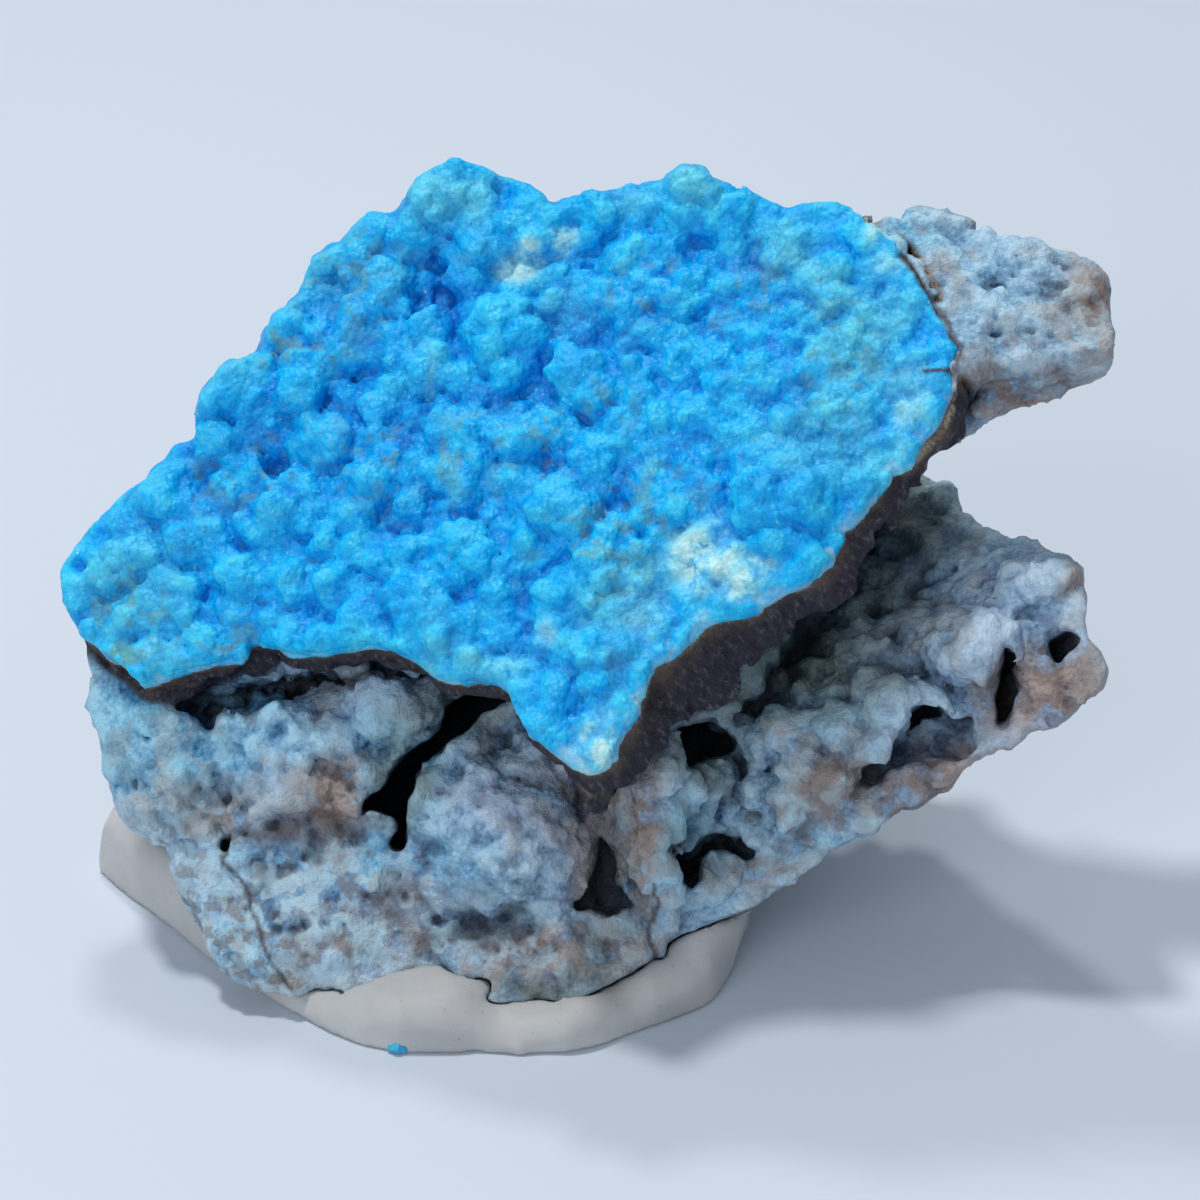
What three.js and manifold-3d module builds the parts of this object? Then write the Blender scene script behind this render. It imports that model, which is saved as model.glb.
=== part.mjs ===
// A specimen of sky-blue botryoidal allophane on a vuggy matrix, standing in a
// pressed lump of white mounting putty. Millimetres, +Z up, origin on the
// putty's flat underside. +X is to the right of the display side, -Y towards it.
//
// The stone is one natural piece, so it is one solid: a tilted plate of blue
// crust on a dark rind, a broken block under it, a cave open to the right, a
// shelf that rises to the right under the cave, and an arm behind the plate.
import * as THREE from "three";
import { mergeVertices } from "three/addons/utils/BufferGeometryUtils.js";
import Module from "manifold-3d";

// ---------------------------------------------------------------- dimensions
const VIEW_ELEVATION = 27; // degrees, of the display direction above the table
const VIEW_DISTANCE = 187; // mm, from the eye to the plate's front tip
const VIEW_SCALE = 2805; // outline units per unit of slope: 15 per mm at the tip
const VIEW_CENTRE = [0, -14.86, 31.7]; // mm, the point straight ahead
const STONE_CELL = 0.85; // mm, sampling cell of the stone
const STONE_TRIANGLES = 8400; // after thinning
const STONE_BASE = 1.5; // mm above the table, pressed into the putty
const PUTTY_CELL = 0.8; // mm
const PUTTY_TRIANGLES = 1500;
const PUTTY_EDGE_RADIUS = 2.0; // mm
const PUTTY_GAP = 0.55; // mm, clearance to the stone before thinning

// Every [x, y, d] below is a place in the display view: x and y in outline
// units, right and down from the frame's corner, and d in mm beyond the plate's tip.
const SPEC = {
  // the whole stone's outline
  silhouette: [
    [63, 576], [71, 559], [87, 539], [119, 503], [150, 480], [178, 448], [198, 440], [202, 393], [225, 369], [257, 353],
    [277, 317], [300, 298], [316, 258], [348, 238], [372, 215], [391, 217], [403, 213], [411, 188], [424, 179], [435, 165],
    [451, 159], [462, 161], [487, 171], [514, 183], [529, 190], [552, 209], [571, 203], [595, 191], [619, 195], [634, 187],
    [662, 183], [678, 167], [698, 169], [717, 185], [737, 185], [757, 199], [785, 209], [816, 205], [848, 205], [860, 218],
    [889, 211], [898, 204], [919, 199], [934, 199], [946, 204], [953, 212], [963, 216], [981, 223], [994, 230], [999, 240],
    [1015, 237], [1025, 240], [1049, 243], [1068, 245], [1086, 250], [1096, 262], [1105, 271], [1113, 274], [1117, 286], [1111, 297],
    [1111, 321], [1116, 333], [1113, 354], [1110, 369], [1096, 381], [1086, 395], [1067, 400], [1053, 404], [1036, 412], [1025, 421],
    [1008, 424], [996, 436], [981, 438], [965, 447], [946, 450], [932, 453], [927, 460], [928, 473], [935, 480], [954, 481],
    [960, 498], [975, 517], [983, 525], [998, 527], [1004, 534], [1023, 534], [1038, 540], [1046, 550], [1067, 555], [1078, 563],
    [1081, 580], [1088, 595], [1088, 607], [1085, 620], [1089, 639], [1101, 651], [1110, 670], [1105, 689], [1095, 702], [1082, 715],
    [1071, 727], [1059, 744], [1042, 753], [1025, 757], [1010, 776], [989, 786], [973, 787], [929, 806], [893, 828], [857, 850],
    [830, 873], [786, 895], [759, 911], [732, 917], [705, 926], [679, 937], [669, 942], [663, 957], [654, 961], [618, 981],
    [594, 993], [570, 1005], [545, 1015], [521, 1013], [497, 1004], [478, 999], [461, 994], [441, 991], [419, 992], [400, 996],
    [383, 998], [349, 1000], [320, 1003], [301, 1008], [282, 1010], [249, 1006], [234, 997], [222, 977], [209, 955], [196, 941],
    [182, 924], [169, 912], [161, 897], [161, 874], [152, 861], [138, 842], [129, 824], [119, 807], [115, 790], [109, 775],
    [105, 747], [102, 731], [94, 716], [90, 705], [94, 685], [88, 664], [79, 628], [69, 603],
  ],
  // the blue plate: the plane d = a u + b (v - v0), its thickness and its rim on that plane
  plate: {
    a: -0.32, b: 0.42, v0: -11.333, thick: 3.4,
    outline: [
      [63, 576], [69, 603], [79, 628], [98, 643], [113, 655], [130, 664], [146, 682], [165, 678], [176, 670], [213, 662],
      [241, 659], [251, 649], [270, 641], [289, 650], [318, 652], [350, 647], [374, 642], [397, 648], [416, 657], [433, 671],
      [452, 681], [475, 678], [502, 681], [514, 692], [521, 711], [533, 730], [554, 747], [577, 766], [592, 771], [607, 762],
      [620, 732], [635, 715], [641, 695], [647, 674], [656, 661], [676, 651], [696, 625], [750, 609], [803, 582], [830, 560],
      [848, 527], [880, 487], [915, 452], [939, 428], [955, 389], [951, 373], [961, 353], [947, 333], [935, 310], [923, 286],
      [911, 266], [895, 250], [870, 232], [840, 222], [800, 224], [745, 226], [700, 226], [650, 232], [600, 238], [560, 242],
      [520, 236], [470, 232], [430, 240], [395, 262], [350, 292], [320, 322], [290, 356], [250, 400], [228, 440], [215, 470],
      [180, 490], [150, 508], [119, 530], [92, 556],
    ],
  },
  // the broken block under the plate: faces through three places each, a place inside,
  // and faces [nx, ny, nz, offset] of the hidden back and underside in X, Y, Z
  block: {
    inside: [420, 700, 24],
    faces: [
      [[150, 700, 14.0], [300, 1000, 10.6], [600, 1000, 9.4]],
      [[655, 770, 5.5], [660, 960, 12.4], [900, 500, 25]],
      [[85, 700, 14.5], [232, 1000, 11.5], [120, 700, 32]],
    ],
    halfspaces: [
      [0.05, 0.985, -0.165, 9.6],
      [0.0, 0.0, -1.0, -1.6],
      [-0.55, 0.8, 0.1, 22.5],
      [0.62, 0.78, 0.0, 16.5],
      [-0.86, 0.35, -0.37, 25.6],
      [0.55, 0.3, -0.78, 4.2],
    ],
  },
  // the shelf that rises to the right under the cave
  shelf: {
    inside: [900, 720, 14],
    faces: [
      [[760, 735, 13.2], [1080, 612, 6], [950, 494, 19.6]],
      [[700, 900, 12.6], [900, 800, 8.6], [800, 750, 12.2]],
      [[660, 962, 12.8], [1105, 692, 5], [900, 790, 24]],
      [[952, 488, 20.5], [1082, 590, 11.5], [1000, 690, 24]],
      [[1112, 660, 6], [1085, 600, 10], [1085, 690, 16]],
    ],
    halfspaces: [
      [-0.3, 0.95, 0.0, 6.4],
      [0.6, 0.06, -1.0, -0.04],
    ],
  },
  // the arm behind and to the right of the plate
  arm: {
    inside: [1010, 320, 8],
    faces: [
      [[905, 300, 5], [1100, 330, 3.6], [940, 203, 11]],
      [[979, 391, 4.2], [1110, 364, 3.2], [1036, 412, 7.5]],
      [[1084, 255, 9], [1114, 300, 6], [1110, 330, 12]],
      [[932, 453, 8], [1096, 381, 7], [1000, 380, 16]],
    ],
    halfspaces: [
      [0.1, 0.97, 0.22, 18.6],
      [-1, 0, 0, -7.0],
    ],
  },
  // lobes of the blue crust, as [x, y, radius, rise above the plate]
  crust: [
    [455, 205, 4.6, 3.4], [490, 240, 3.6, 2.6], [545, 235, 3.6, 2.6], [408, 250, 3.4, 2.6], [365, 262, 3.6, 3.0],
    [330, 300, 3.6, 2.8], [385, 300, 3.2, 2.6], [350, 350, 3.6, 2.6], [300, 345, 3.4, 2.6], [240, 405, 4.2, 3.2],
    [225, 440, 3.2, 2.8], [300, 400, 3.8, 2.4], [425, 360, 3.4, 2.2], [395, 405, 3.4, 1.8], [345, 440, 3.4, 1.8],
    [310, 450, 2.6, 1.6], [505, 335, 4.2, 2.2], [480, 300, 2.6, 1.6], [545, 290, 2.8, 1.2], [575, 250, 2.6, 1.6],
    [600, 225, 3.2, 2.0], [650, 215, 3.2, 2.2], [690, 205, 3.4, 2.6], [735, 225, 3.0, 1.6], [640, 265, 3.4, 1.6],
    [690, 290, 3.6, 1.6], [635, 320, 3.2, 1.4], [590, 385, 3.6, 1.8], [640, 400, 3.2, 1.2], [545, 345, 2.4, 1.0],
    [480, 400, 3.0, 1.4], [460, 455, 3.8, 1.8], [520, 450, 3.2, 1.4], [400, 480, 3.6, 1.8], [350, 510, 3.6, 1.6],
    [290, 520, 3.6, 1.8], [240, 500, 3.2, 1.4], [170, 510, 3.8, 2.6], [200, 545, 3.4, 1.6], [140, 560, 3.4, 2.0],
    [110, 590, 2.8, 1.2], [180, 600, 3.4, 1.2], [250, 590, 3.4, 1.0], [320, 590, 3.2, 1.2], [390, 570, 3.4, 1.6],
    [430, 610, 3.0, 1.6], [480, 560, 3.4, 1.4], [500, 640, 2.8, 0.8], [560, 520, 3.6, 1.6], [600, 470, 3.4, 1.2],
    [560, 600, 3.2, 1.0], [620, 560, 3.4, 1.2], [660, 500, 3.4, 1.2], [700, 430, 3.4, 1.2], [760, 380, 3.6, 1.4],
    [720, 350, 3.2, 1.2], [790, 300, 3.2, 1.0], [830, 280, 3.0, 0.8], [840, 340, 3.4, 1.0], [890, 320, 3.0, 0.6],
    [880, 390, 3.2, 0.8], [820, 420, 3.4, 1.0], [785, 500, 4.3, 2.6], [740, 560, 3.0, 0.8], [690, 600, 2.6, 0.6],
    [600, 660, 3.2, 0.8], [560, 690, 2.6, 0.6], [600, 730, 2.4, 0.5], [760, 455, 2.6, 0.8], [680, 360, 2.8, 0.8],
    [560, 400, 2.4, 0.6], [790, 245, 2.8, 0.8], [850, 235, 2.4, 0.6], [660, 440, 3.0, 0.8], [540, 565, 2.4, 0.6],
    [270, 440, 2.4, 1.4], [255, 470, 2.2, 1.2],
  ],
  // lumps grown on, as [x, y, d, half width, half height, half depth, blend]
  lumps: [
    [506, 832, 13.2, 6.9, 6.0, 5.4, 1.8], [450, 800, 14.6, 3.2, 3.6, 3.4, 1.2],
    [455, 868, 13.8, 4.4, 4.2, 3.8, 1.4], [560, 880, 13.2, 3.4, 3.6, 3.4, 1.0],
    [545, 772, 13.4, 3.6, 3.2, 3.4, 1.0], [290, 722, 15.0, 4.6, 3.0, 2.8, 1.0],
    [350, 735, 14.2, 3.0, 3.4, 2.6, 1.0], [392, 705, 13.0, 3.4, 2.2, 2.8, 0.8],
    [300, 800, 13.6, 4.6, 2.6, 2.2, 1.4], [540, 965, 11.4, 7.0, 2.6, 2.6, 1.2],
    [632, 925, 13.4, 2.4, 3.4, 2.6, 1.0], [300, 930, 12.6, 6.0, 4.0, 2.4, 1.6],
    [700, 880, 14.8, 4.4, 3.0, 3.0, 1.0], [760, 745, 15.4, 4.0, 1.3, 3.0, 0.6],
    [705, 800, 15.8, 2.0, 2.2, 2.4, 0.6], [815, 790, 12.2, 2.8, 3.6, 2.6, 0.8],
    [905, 700, 10.2, 3.8, 1.6, 3.2, 0.6], [980, 648, 9.4, 4.2, 2.6, 3.8, 0.6],
    [1040, 588, 10.6, 3.2, 2.2, 3.4, 0.8], [1055, 680, 8.0, 2.6, 2.8, 2.8, 0.6],
    [945, 505, 21.4, 1.6, 2.2, 2.2, 0.8], [880, 560, 23.6, 3.8, 3.8, 3.0, 1.2],
    [935, 224, 11.2, 2.6, 1.3, 2.4, 0.8], [1012, 262, 9.8, 4.2, 1.9, 2.6, 0.8],
    [1086, 300, 7.2, 2.2, 3.0, 2.4, 0.8], [190, 765, 15.2, 2.3, 2.4, 2.2, 0.6],
    [240, 775, 14.4, 1.7, 1.7, 1.7, 0.5], [150, 722, 15.6, 2.6, 2.2, 2.2, 0.7],
    [118, 765, 16.4, 1.9, 2.2, 2.2, 0.7], [135, 800, 16.0, 2.2, 2.6, 2.2, 0.9],
    [290, 760, 14.2, 2.6, 3.4, 2.2, 1.0], [250, 810, 14.6, 2.0, 1.4, 1.8, 0.6],
    [665, 770, 9.4, 1.5, 2.6, 2.2, 0.6], [672, 795, 9.8, 1.1, 1.4, 1.8, 0.5],
    [715, 782, 15.0, 1.8, 1.3, 2.4, 0.5], [760, 790, 14.6, 2.6, 1.4, 2.8, 0.6],
    [690, 825, 14.4, 1.9, 1.3, 2.4, 0.5], [732, 692, 14.4, 1.4, 1.2, 1.8, 0.4],
    [870, 742, 9.6, 1.6, 1.3, 2.0, 0.4], [850, 725, 10.6, 1.9, 1.4, 2.2, 0.5],
    [1075, 565, 10.4, 1.2, 1.8, 2.0, 0.6], [800, 740, 12.8, 2.8, 1.9, 2.6, 0.8],
    [830, 790, 11.4, 1.9, 2.9, 2.4, 0.7],
  ],
  // ridges between two places, as [x, y, d, x, y, d, radius, radius, blend]
  ridges: [
    [652, 772, 6.6, 662, 958, 12.6, 1.1, 1.3, 0.9],
    [640, 782, 8.2, 636, 850, 11.2, 1.6, 1.9, 1.0],
    [622, 955, 12.2, 470, 1000, 10.2, 1.2, 1.4, 1.0],
  ],
  // openings seen from the display side: the outline, and the d they reach
  clefts: [
    { to: 21, outline: [[500, 683], [508, 700], [498, 709], [485, 712], [478, 716], [470, 728], [456, 740], [440, 752], [425, 764], [417, 775], [415, 790], [410, 800], [408, 815], [405, 830], [404, 848], [396, 850], [390, 843], [398, 830], [397, 820], [385, 814], [370, 810], [362, 816], [362, 806], [368, 795], [380, 790], [388, 775], [398, 762], [408, 750], [420, 742], [432, 738], [440, 728], [442, 715], [446, 703], [462, 697], [470, 688], [480, 684]] },
    { to: 18, outline: [[672, 728], [685, 722], [700, 716], [716, 712], [722, 722], [740, 735], [742, 748], [738, 758], [720, 765], [700, 768], [685, 775], [684, 790], [680, 785], [681, 760], [676, 745], [668, 738]] },
    { to: 15.5, outline: [[664, 810], [690, 798], [712, 800], [735, 788], [738, 797], [720, 803], [705, 808], [690, 812], [675, 816]] },
    { to: 16.5, outline: [[656, 840], [665, 836], [675, 842], [682, 850], [692, 842], [700, 832], [715, 826], [735, 833], [745, 842], [757, 848], [750, 856], [735, 858], [715, 855], [708, 862], [705, 880], [700, 893], [690, 893], [680, 886], [675, 870], [672, 862], [665, 852], [658, 850]] },
    { to: 11.6, outline: [[858, 762], [870, 757], [884, 758], [889, 742], [898, 732], [905, 720], [904, 706], [922, 698], [938, 706], [943, 713], [960, 721], [970, 716], [974, 735], [974, 752], [960, 760], [935, 762], [910, 765], [890, 772], [875, 785], [862, 786], [855, 775]] },
    { to: 14, outline: [[886, 752], [889, 742], [898, 732], [905, 720], [906, 707], [922, 698], [938, 706], [943, 714], [930, 722], [915, 732], [900, 745]] },
    { to: 11.5, outline: [[998, 640], [1012, 650], [1019, 655], [1012, 668], [1016, 685], [1014, 705], [1006, 722], [998, 722], [996, 705], [999, 680], [1001, 660]] },
    { to: 11, outline: [[1048, 642], [1060, 640], [1068, 634], [1080, 640], [1075, 650], [1066, 655], [1058, 662], [1052, 655]] },
    { to: 17.5, outline: [[165, 705], [180, 700], [200, 690], [230, 680], [262, 675], [285, 683], [320, 683], [322, 690], [300, 700], [280, 705], [262, 712], [250, 718], [222, 720], [217, 735], [205, 737], [198, 728], [190, 722], [175, 714]] },
    { to: 12.4, outline: [[601, 835], [607, 850], [613, 878], [628, 905], [604, 916], [572, 907], [587, 885], [600, 862]] },
  ],
  // hollows, as the lumps
  hollows: [
    [300, 680, 13.6, 5.0, 1.0, 3.6, 0.5], [400, 676, 12.4, 4.2, 1.1, 3.4, 0.5],
    [443, 300, 16.6, 1.3, 1.5, 2.4, 0.6], [535, 392, 11.4, 2.0, 0.8, 1.8, 0.5],
    [598, 325, 12.0, 1.0, 1.3, 1.8, 0.5], [735, 266, 10.4, 2.4, 0.6, 1.6, 0.5],
    [276, 466, 14.0, 0.9, 0.9, 2.0, 0.4], [134, 782, 15.0, 0.6, 1.0, 2.6, 0.3],
    [226, 838, 13.6, 0.6, 1.1, 2.4, 0.3], [830, 750, 11.4, 0.9, 0.8, 3.0, 0.3],
    [862, 708, 10.4, 1.1, 0.5, 2.0, 0.3], [478, 990, 9.4, 0.9, 0.7, 2.0, 0.3],
  ],
  // the putty's outline on the table, and its height at some places: X, Y and Z
  putty: [
    [-21.3, -16.7], [-18.4, -19.2], [-16.2, -20.8], [-13.9, -21.6], [-11.4, -21.3], [-8.6, -21], [-5.5, -21.9], [-2.4, -21.6], [-0.4, -20.8], [3.8, -18.6],
    [7.4, -15.4], [9.4, -11.9], [10.4, -7], [9.4, -1], [7, 4.2], [3.2, 8.4], [-2, 10.6], [-8.5, 11.2], [-15.5, 10.8], [-22, 9.6],
    [-28, 8.8], [-33.5, 7.6], [-37, 5], [-37.6, 1.6], [-35, -2], [-31.6, -6], [-28.6, -10], [-25, -13.6],
  ],
  puttyHeights: [
    [-21, -16, 2.6], [-12, -19, 4.0], [-5, -20.5, 2.0], [0, -19, 2.8], [4, -16, 4.0],
    [9, -12, 5.4], [9, -4, 6.0], [-10, -8, 5.5], [-30, -4, 5.0], [-36, 3, 5.4],
    [-28, 6, 6.0], [-10, 9, 6.2], [4, 5, 6.0],
  ],
};

// ------------------------------------------------------------- view geometry
const EL = (VIEW_ELEVATION * Math.PI) / 180,
  SE = Math.sin(EL),
  CE = Math.cos(EL);

// The place [x, y, d] as [u, v, d] in mm: right, up and away, seen from the display side.
function uvd([x, y, d]) {
  const k = (VIEW_DISTANCE + d) / VIEW_SCALE;
  return [(x - 600) * k, (600 - y) * k, d];
}
function worldOf([u, v, d]) {
  return [
    u + VIEW_CENTRE[0],
    VIEW_CENTRE[1] + SE * v + CE * d,
    VIEW_CENTRE[2] + CE * v - SE * d,
  ];
}
function viewOf(x, y, z) {
  const dy = y - VIEW_CENTRE[1],
    dz = z - VIEW_CENTRE[2];
  return [x - VIEW_CENTRE[0], SE * dy + CE * dz, CE * dy - SE * dz];
}

// ------------------------------------------------------------ distance fields
const smin = (a, b, k) => {
  const h = Math.max(k - Math.abs(a - b), 0) / k;
  return Math.min(a, b) - h * h * k * 0.25;
};
const smax = (a, b, k) => -smin(-a, -b, k);

// Signed distance from (x, y) to a closed polygon, negative inside.
function polygonDistance(poly, x, y) {
  let best = 1e18,
    inside = false;
  for (let i = 0, j = poly.length - 1; i < poly.length; j = i++) {
    const ax = poly[j][0],
      ay = poly[j][1],
      ex = poly[i][0] - ax,
      ey = poly[i][1] - ay,
      wx = x - ax,
      wy = y - ay;
    const t = Math.min(1, Math.max(0, (wx * ex + wy * ey) / (ex * ex + ey * ey)));
    const dx = wx - ex * t,
      dy = wy - ey * t,
      q = dx * dx + dy * dy;
    if (q < best) best = q;
    if (ay > y !== poly[i][1] > y && x < (ex * (y - ay)) / ey + ax)
      inside = !inside;
  }
  return (inside ? -1 : 1) * Math.sqrt(best);
}

// A plane through three places as [n, c] in view coordinates, with inside < 0.
function planeThrough(places, inside) {
  const [a, b, c] = places.map((p) => new THREE.Vector3(...uvd(p)));
  const n = new THREE.Vector3()
    .crossVectors(b.clone().sub(a), c.clone().sub(a))
    .normalize();
  let off = -n.dot(a);
  if (n.dot(new THREE.Vector3(...uvd(inside))) + off > 0) {
    n.negate();
    off = -off;
  }
  return [n.x, n.y, n.z, off];
}
const prepared = ["block", "shelf", "arm"].map((k) =>
  SPEC[k].faces.map((f) => planeThrough(f, SPEC[k].inside)),
);
const ellipsoids = (rows) =>
  rows.map((r) => [...uvd(r), r[3], r[4], r[5], r[6]]);
const LUMPS = ellipsoids(SPEC.lumps),
  HOLLOWS = ellipsoids(SPEC.hollows);
const PL = SPEC.plate,
  PN = Math.hypot(PL.a, PL.b, 1);
const RIDGES = SPEC.ridges.map((r) => ({
  from: uvd(r.slice(0, 3)),
  to: uvd(r.slice(3, 6)),
  r0: r[6],
  r1: r[7],
  blend: r[8],
}));
const CRUST = SPEC.crust.map(([x, y, r, rise]) => {
  const U = (x - 600) / VIEW_SCALE,
    V = (600 - y) / VIEW_SCALE;
  const d = ((PL.a * U + PL.b * V) * VIEW_DISTANCE - PL.b * PL.v0) / (1 - PL.a * U - PL.b * V);
  const c = uvd([x, y, d]),
    t = (rise - r) / PN;
  return [c[0] + PL.a * t, c[1] + PL.b * t, c[2] - t, r];
});

function convex(faces, halfspaces, u, v, d, x, y, z, k) {
  let s = -1e9;
  for (const f of faces) {
    const q = f[0] * u + f[1] * v + f[2] * d + f[3];
    s = s < -1e8 ? q : smax(s, q, k);
  }
  for (const h of halfspaces) {
    const q = (h[0] * x + h[1] * y + h[2] * z - h[3]) / Math.hypot(h[0], h[1], h[2]);
    s = smax(s, q, k);
  }
  return s;
}
function ellipsoid(e, u, v, d) {
  const x = u - e[0],
    y = v - e[1],
    z = d - e[2];
  const k0 = Math.hypot(x / e[3], y / e[4], z / e[5]),
    k1 = Math.hypot(x / (e[3] * e[3]), y / (e[4] * e[4]), z / (e[5] * e[5]));
  return k1 < 1e-9 ? -Math.min(e[3], e[4], e[5]) : (k0 * (k0 - 1)) / k1;
}

function capsule(e, u, v, d) {
  const ab = e.to.map((q, i) => q - e.from[i]),
    w = [u - e.from[0], v - e.from[1], d - e.from[2]];
  const t = Math.min(1, Math.max(0, (w[0] * ab[0] + w[1] * ab[1] + w[2] * ab[2]) / (ab[0] ** 2 + ab[1] ** 2 + ab[2] ** 2)));
  return Math.hypot(w[0] - ab[0] * t, w[1] - ab[1] * t, w[2] - ab[2] * t) - (e.r0 + (e.r1 - e.r0) * t);
}

// A small steady unevenness, so that broken faces aren't flat.
function roughness(x, y, z) {
  return (
    0.28 * Math.sin(0.83 * x + 1.3 * Math.sin(0.51 * y + 0.4)) * Math.sin(0.77 * z + 1.1 * Math.sin(0.63 * x)) +
    0.16 * Math.sin(1.71 * y + 1.6 * Math.sin(1.13 * z)) * Math.sin(1.57 * x + 0.9) +
    0.10 * Math.sin(2.9 * z + 1.2 * Math.sin(2.3 * x + 1.0)) * Math.sin(2.7 * y + 0.3)
  );
}

// Broad swells of the broken rock, stronger at the back.
function heave(x, y, z) {
  const s = Math.sin,
    m = 0.55 + 1.1 * Math.min(1, Math.max(0, (y - 1) / 8));
  return (
    m *
    (0.8 * s(0.31 * x + 1.1 * s(0.24 * z + 0.5) + 0.7) * s(0.29 * z + 0.9 * s(0.21 * y) + 1.9) +
      0.45 * s(0.62 * x + 0.8 + 1.2 * s(0.4 * z)) * s(0.55 * z + 0.5 * y + 0.4))
  );
}

function stoneDistance(x, y, z) {
  const [u, v, d] = viewOf(x, y, z);
  const k = VIEW_SCALE / (VIEW_DISTANCE + d); // outline units per mm here
  const px = 600 + u * k,
    py = 600 - v * k;
  // the plate: its rim is square to its own plane
  const h = (PL.a * u + PL.b * (v - PL.v0) - d) / PN;
  const qu = u - (PL.a / PN) * h,
    qv = v - (PL.b / PN) * h,
    qd = d + h / PN;
  const kq = VIEW_SCALE / (VIEW_DISTANCE + qd);
  const rim = polygonDistance(PL.outline, 600 + qu * kq, 600 - qv * kq) / kq;
  const plate = smax(rim, Math.abs(h + PL.thick / 2) - PL.thick / 2, 0.8);
  const swell = heave(x, y, z);
  const block = smax(
    convex(prepared[0], SPEC.block.halfspaces, u, v, d, x, y, z, 1.6) + swell,
    h + 1.5,
    1.0,
  );
  const shelf = convex(prepared[1], SPEC.shelf.halfspaces, u, v, d, x, y, z, 1.4) + 0.6 * swell;
  const arm = smax(
    convex(prepared[2], SPEC.arm.halfspaces, u, v, d, x, y, z, 1.2) + 0.4 * swell,
    h - 0.6,
    1.0,
  );
  let s = smin(block, plate, 1.0);
  s = smin(s, shelf, 1.4);
  s = smin(s, arm, 1.0);
  let crust = 1e3;
  for (const e of CRUST)
    crust = smin(crust, Math.hypot(u - e[0], v - e[1], d - e[2]) - e[3], 0.5);
  s = smin(s, smax(crust, -(h + 2.6), 0.6), 0.6);
  for (const e of LUMPS) s = smin(s, ellipsoid(e, u, v, d), e[6]);
  for (const e of RIDGES) s = smin(s, capsule(e, u, v, d), e.blend);
  for (const e of SPEC.clefts) {
    const q = smax(polygonDistance(e.outline, px, py) / k, d - e.to, 1.2);
    s = smax(s, -Math.max(q, h + 2.2), 0.4);
  }
  for (const e of HOLLOWS) s = smax(s, -ellipsoid(e, u, v, d), e[6]);
  s += roughness(x, y, z);
  const outline = polygonDistance(SPEC.silhouette, px, py) / k;
  return smax(smax(s, outline, 0.5), STONE_BASE - z, 0.6);
}

function puttyDistance(x, y, z) {
  const side = polygonDistance(SPEC.putty, x, y) + 0.4 * Math.sin(0.45 * x + 0.3 * y) * Math.sin(0.5 * z + 0.2 * x);
  let sum = 0,
    weights = 0;
  for (const [a, b, c] of SPEC.puttyHeights) {
    const w = 1 / ((x - a) ** 2 + (y - b) ** 2 + 0.5) ** 1.5;
    sum += w * c;
    weights += w;
  }
  const top = z - sum / weights - 0.3 * Math.sin(0.5 * y + 0.27 * x);
  const R = PUTTY_EDGE_RADIUS,
    a = side + R * 0.7,
    b = top + R;
  const lump = Math.hypot(Math.max(a, 0), Math.max(b, 0)) + Math.min(Math.max(a, b), 0) - R;
  return smax(lump, PUTTY_GAP - stoneDistance(x, y, z), 0.25);
}

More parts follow.
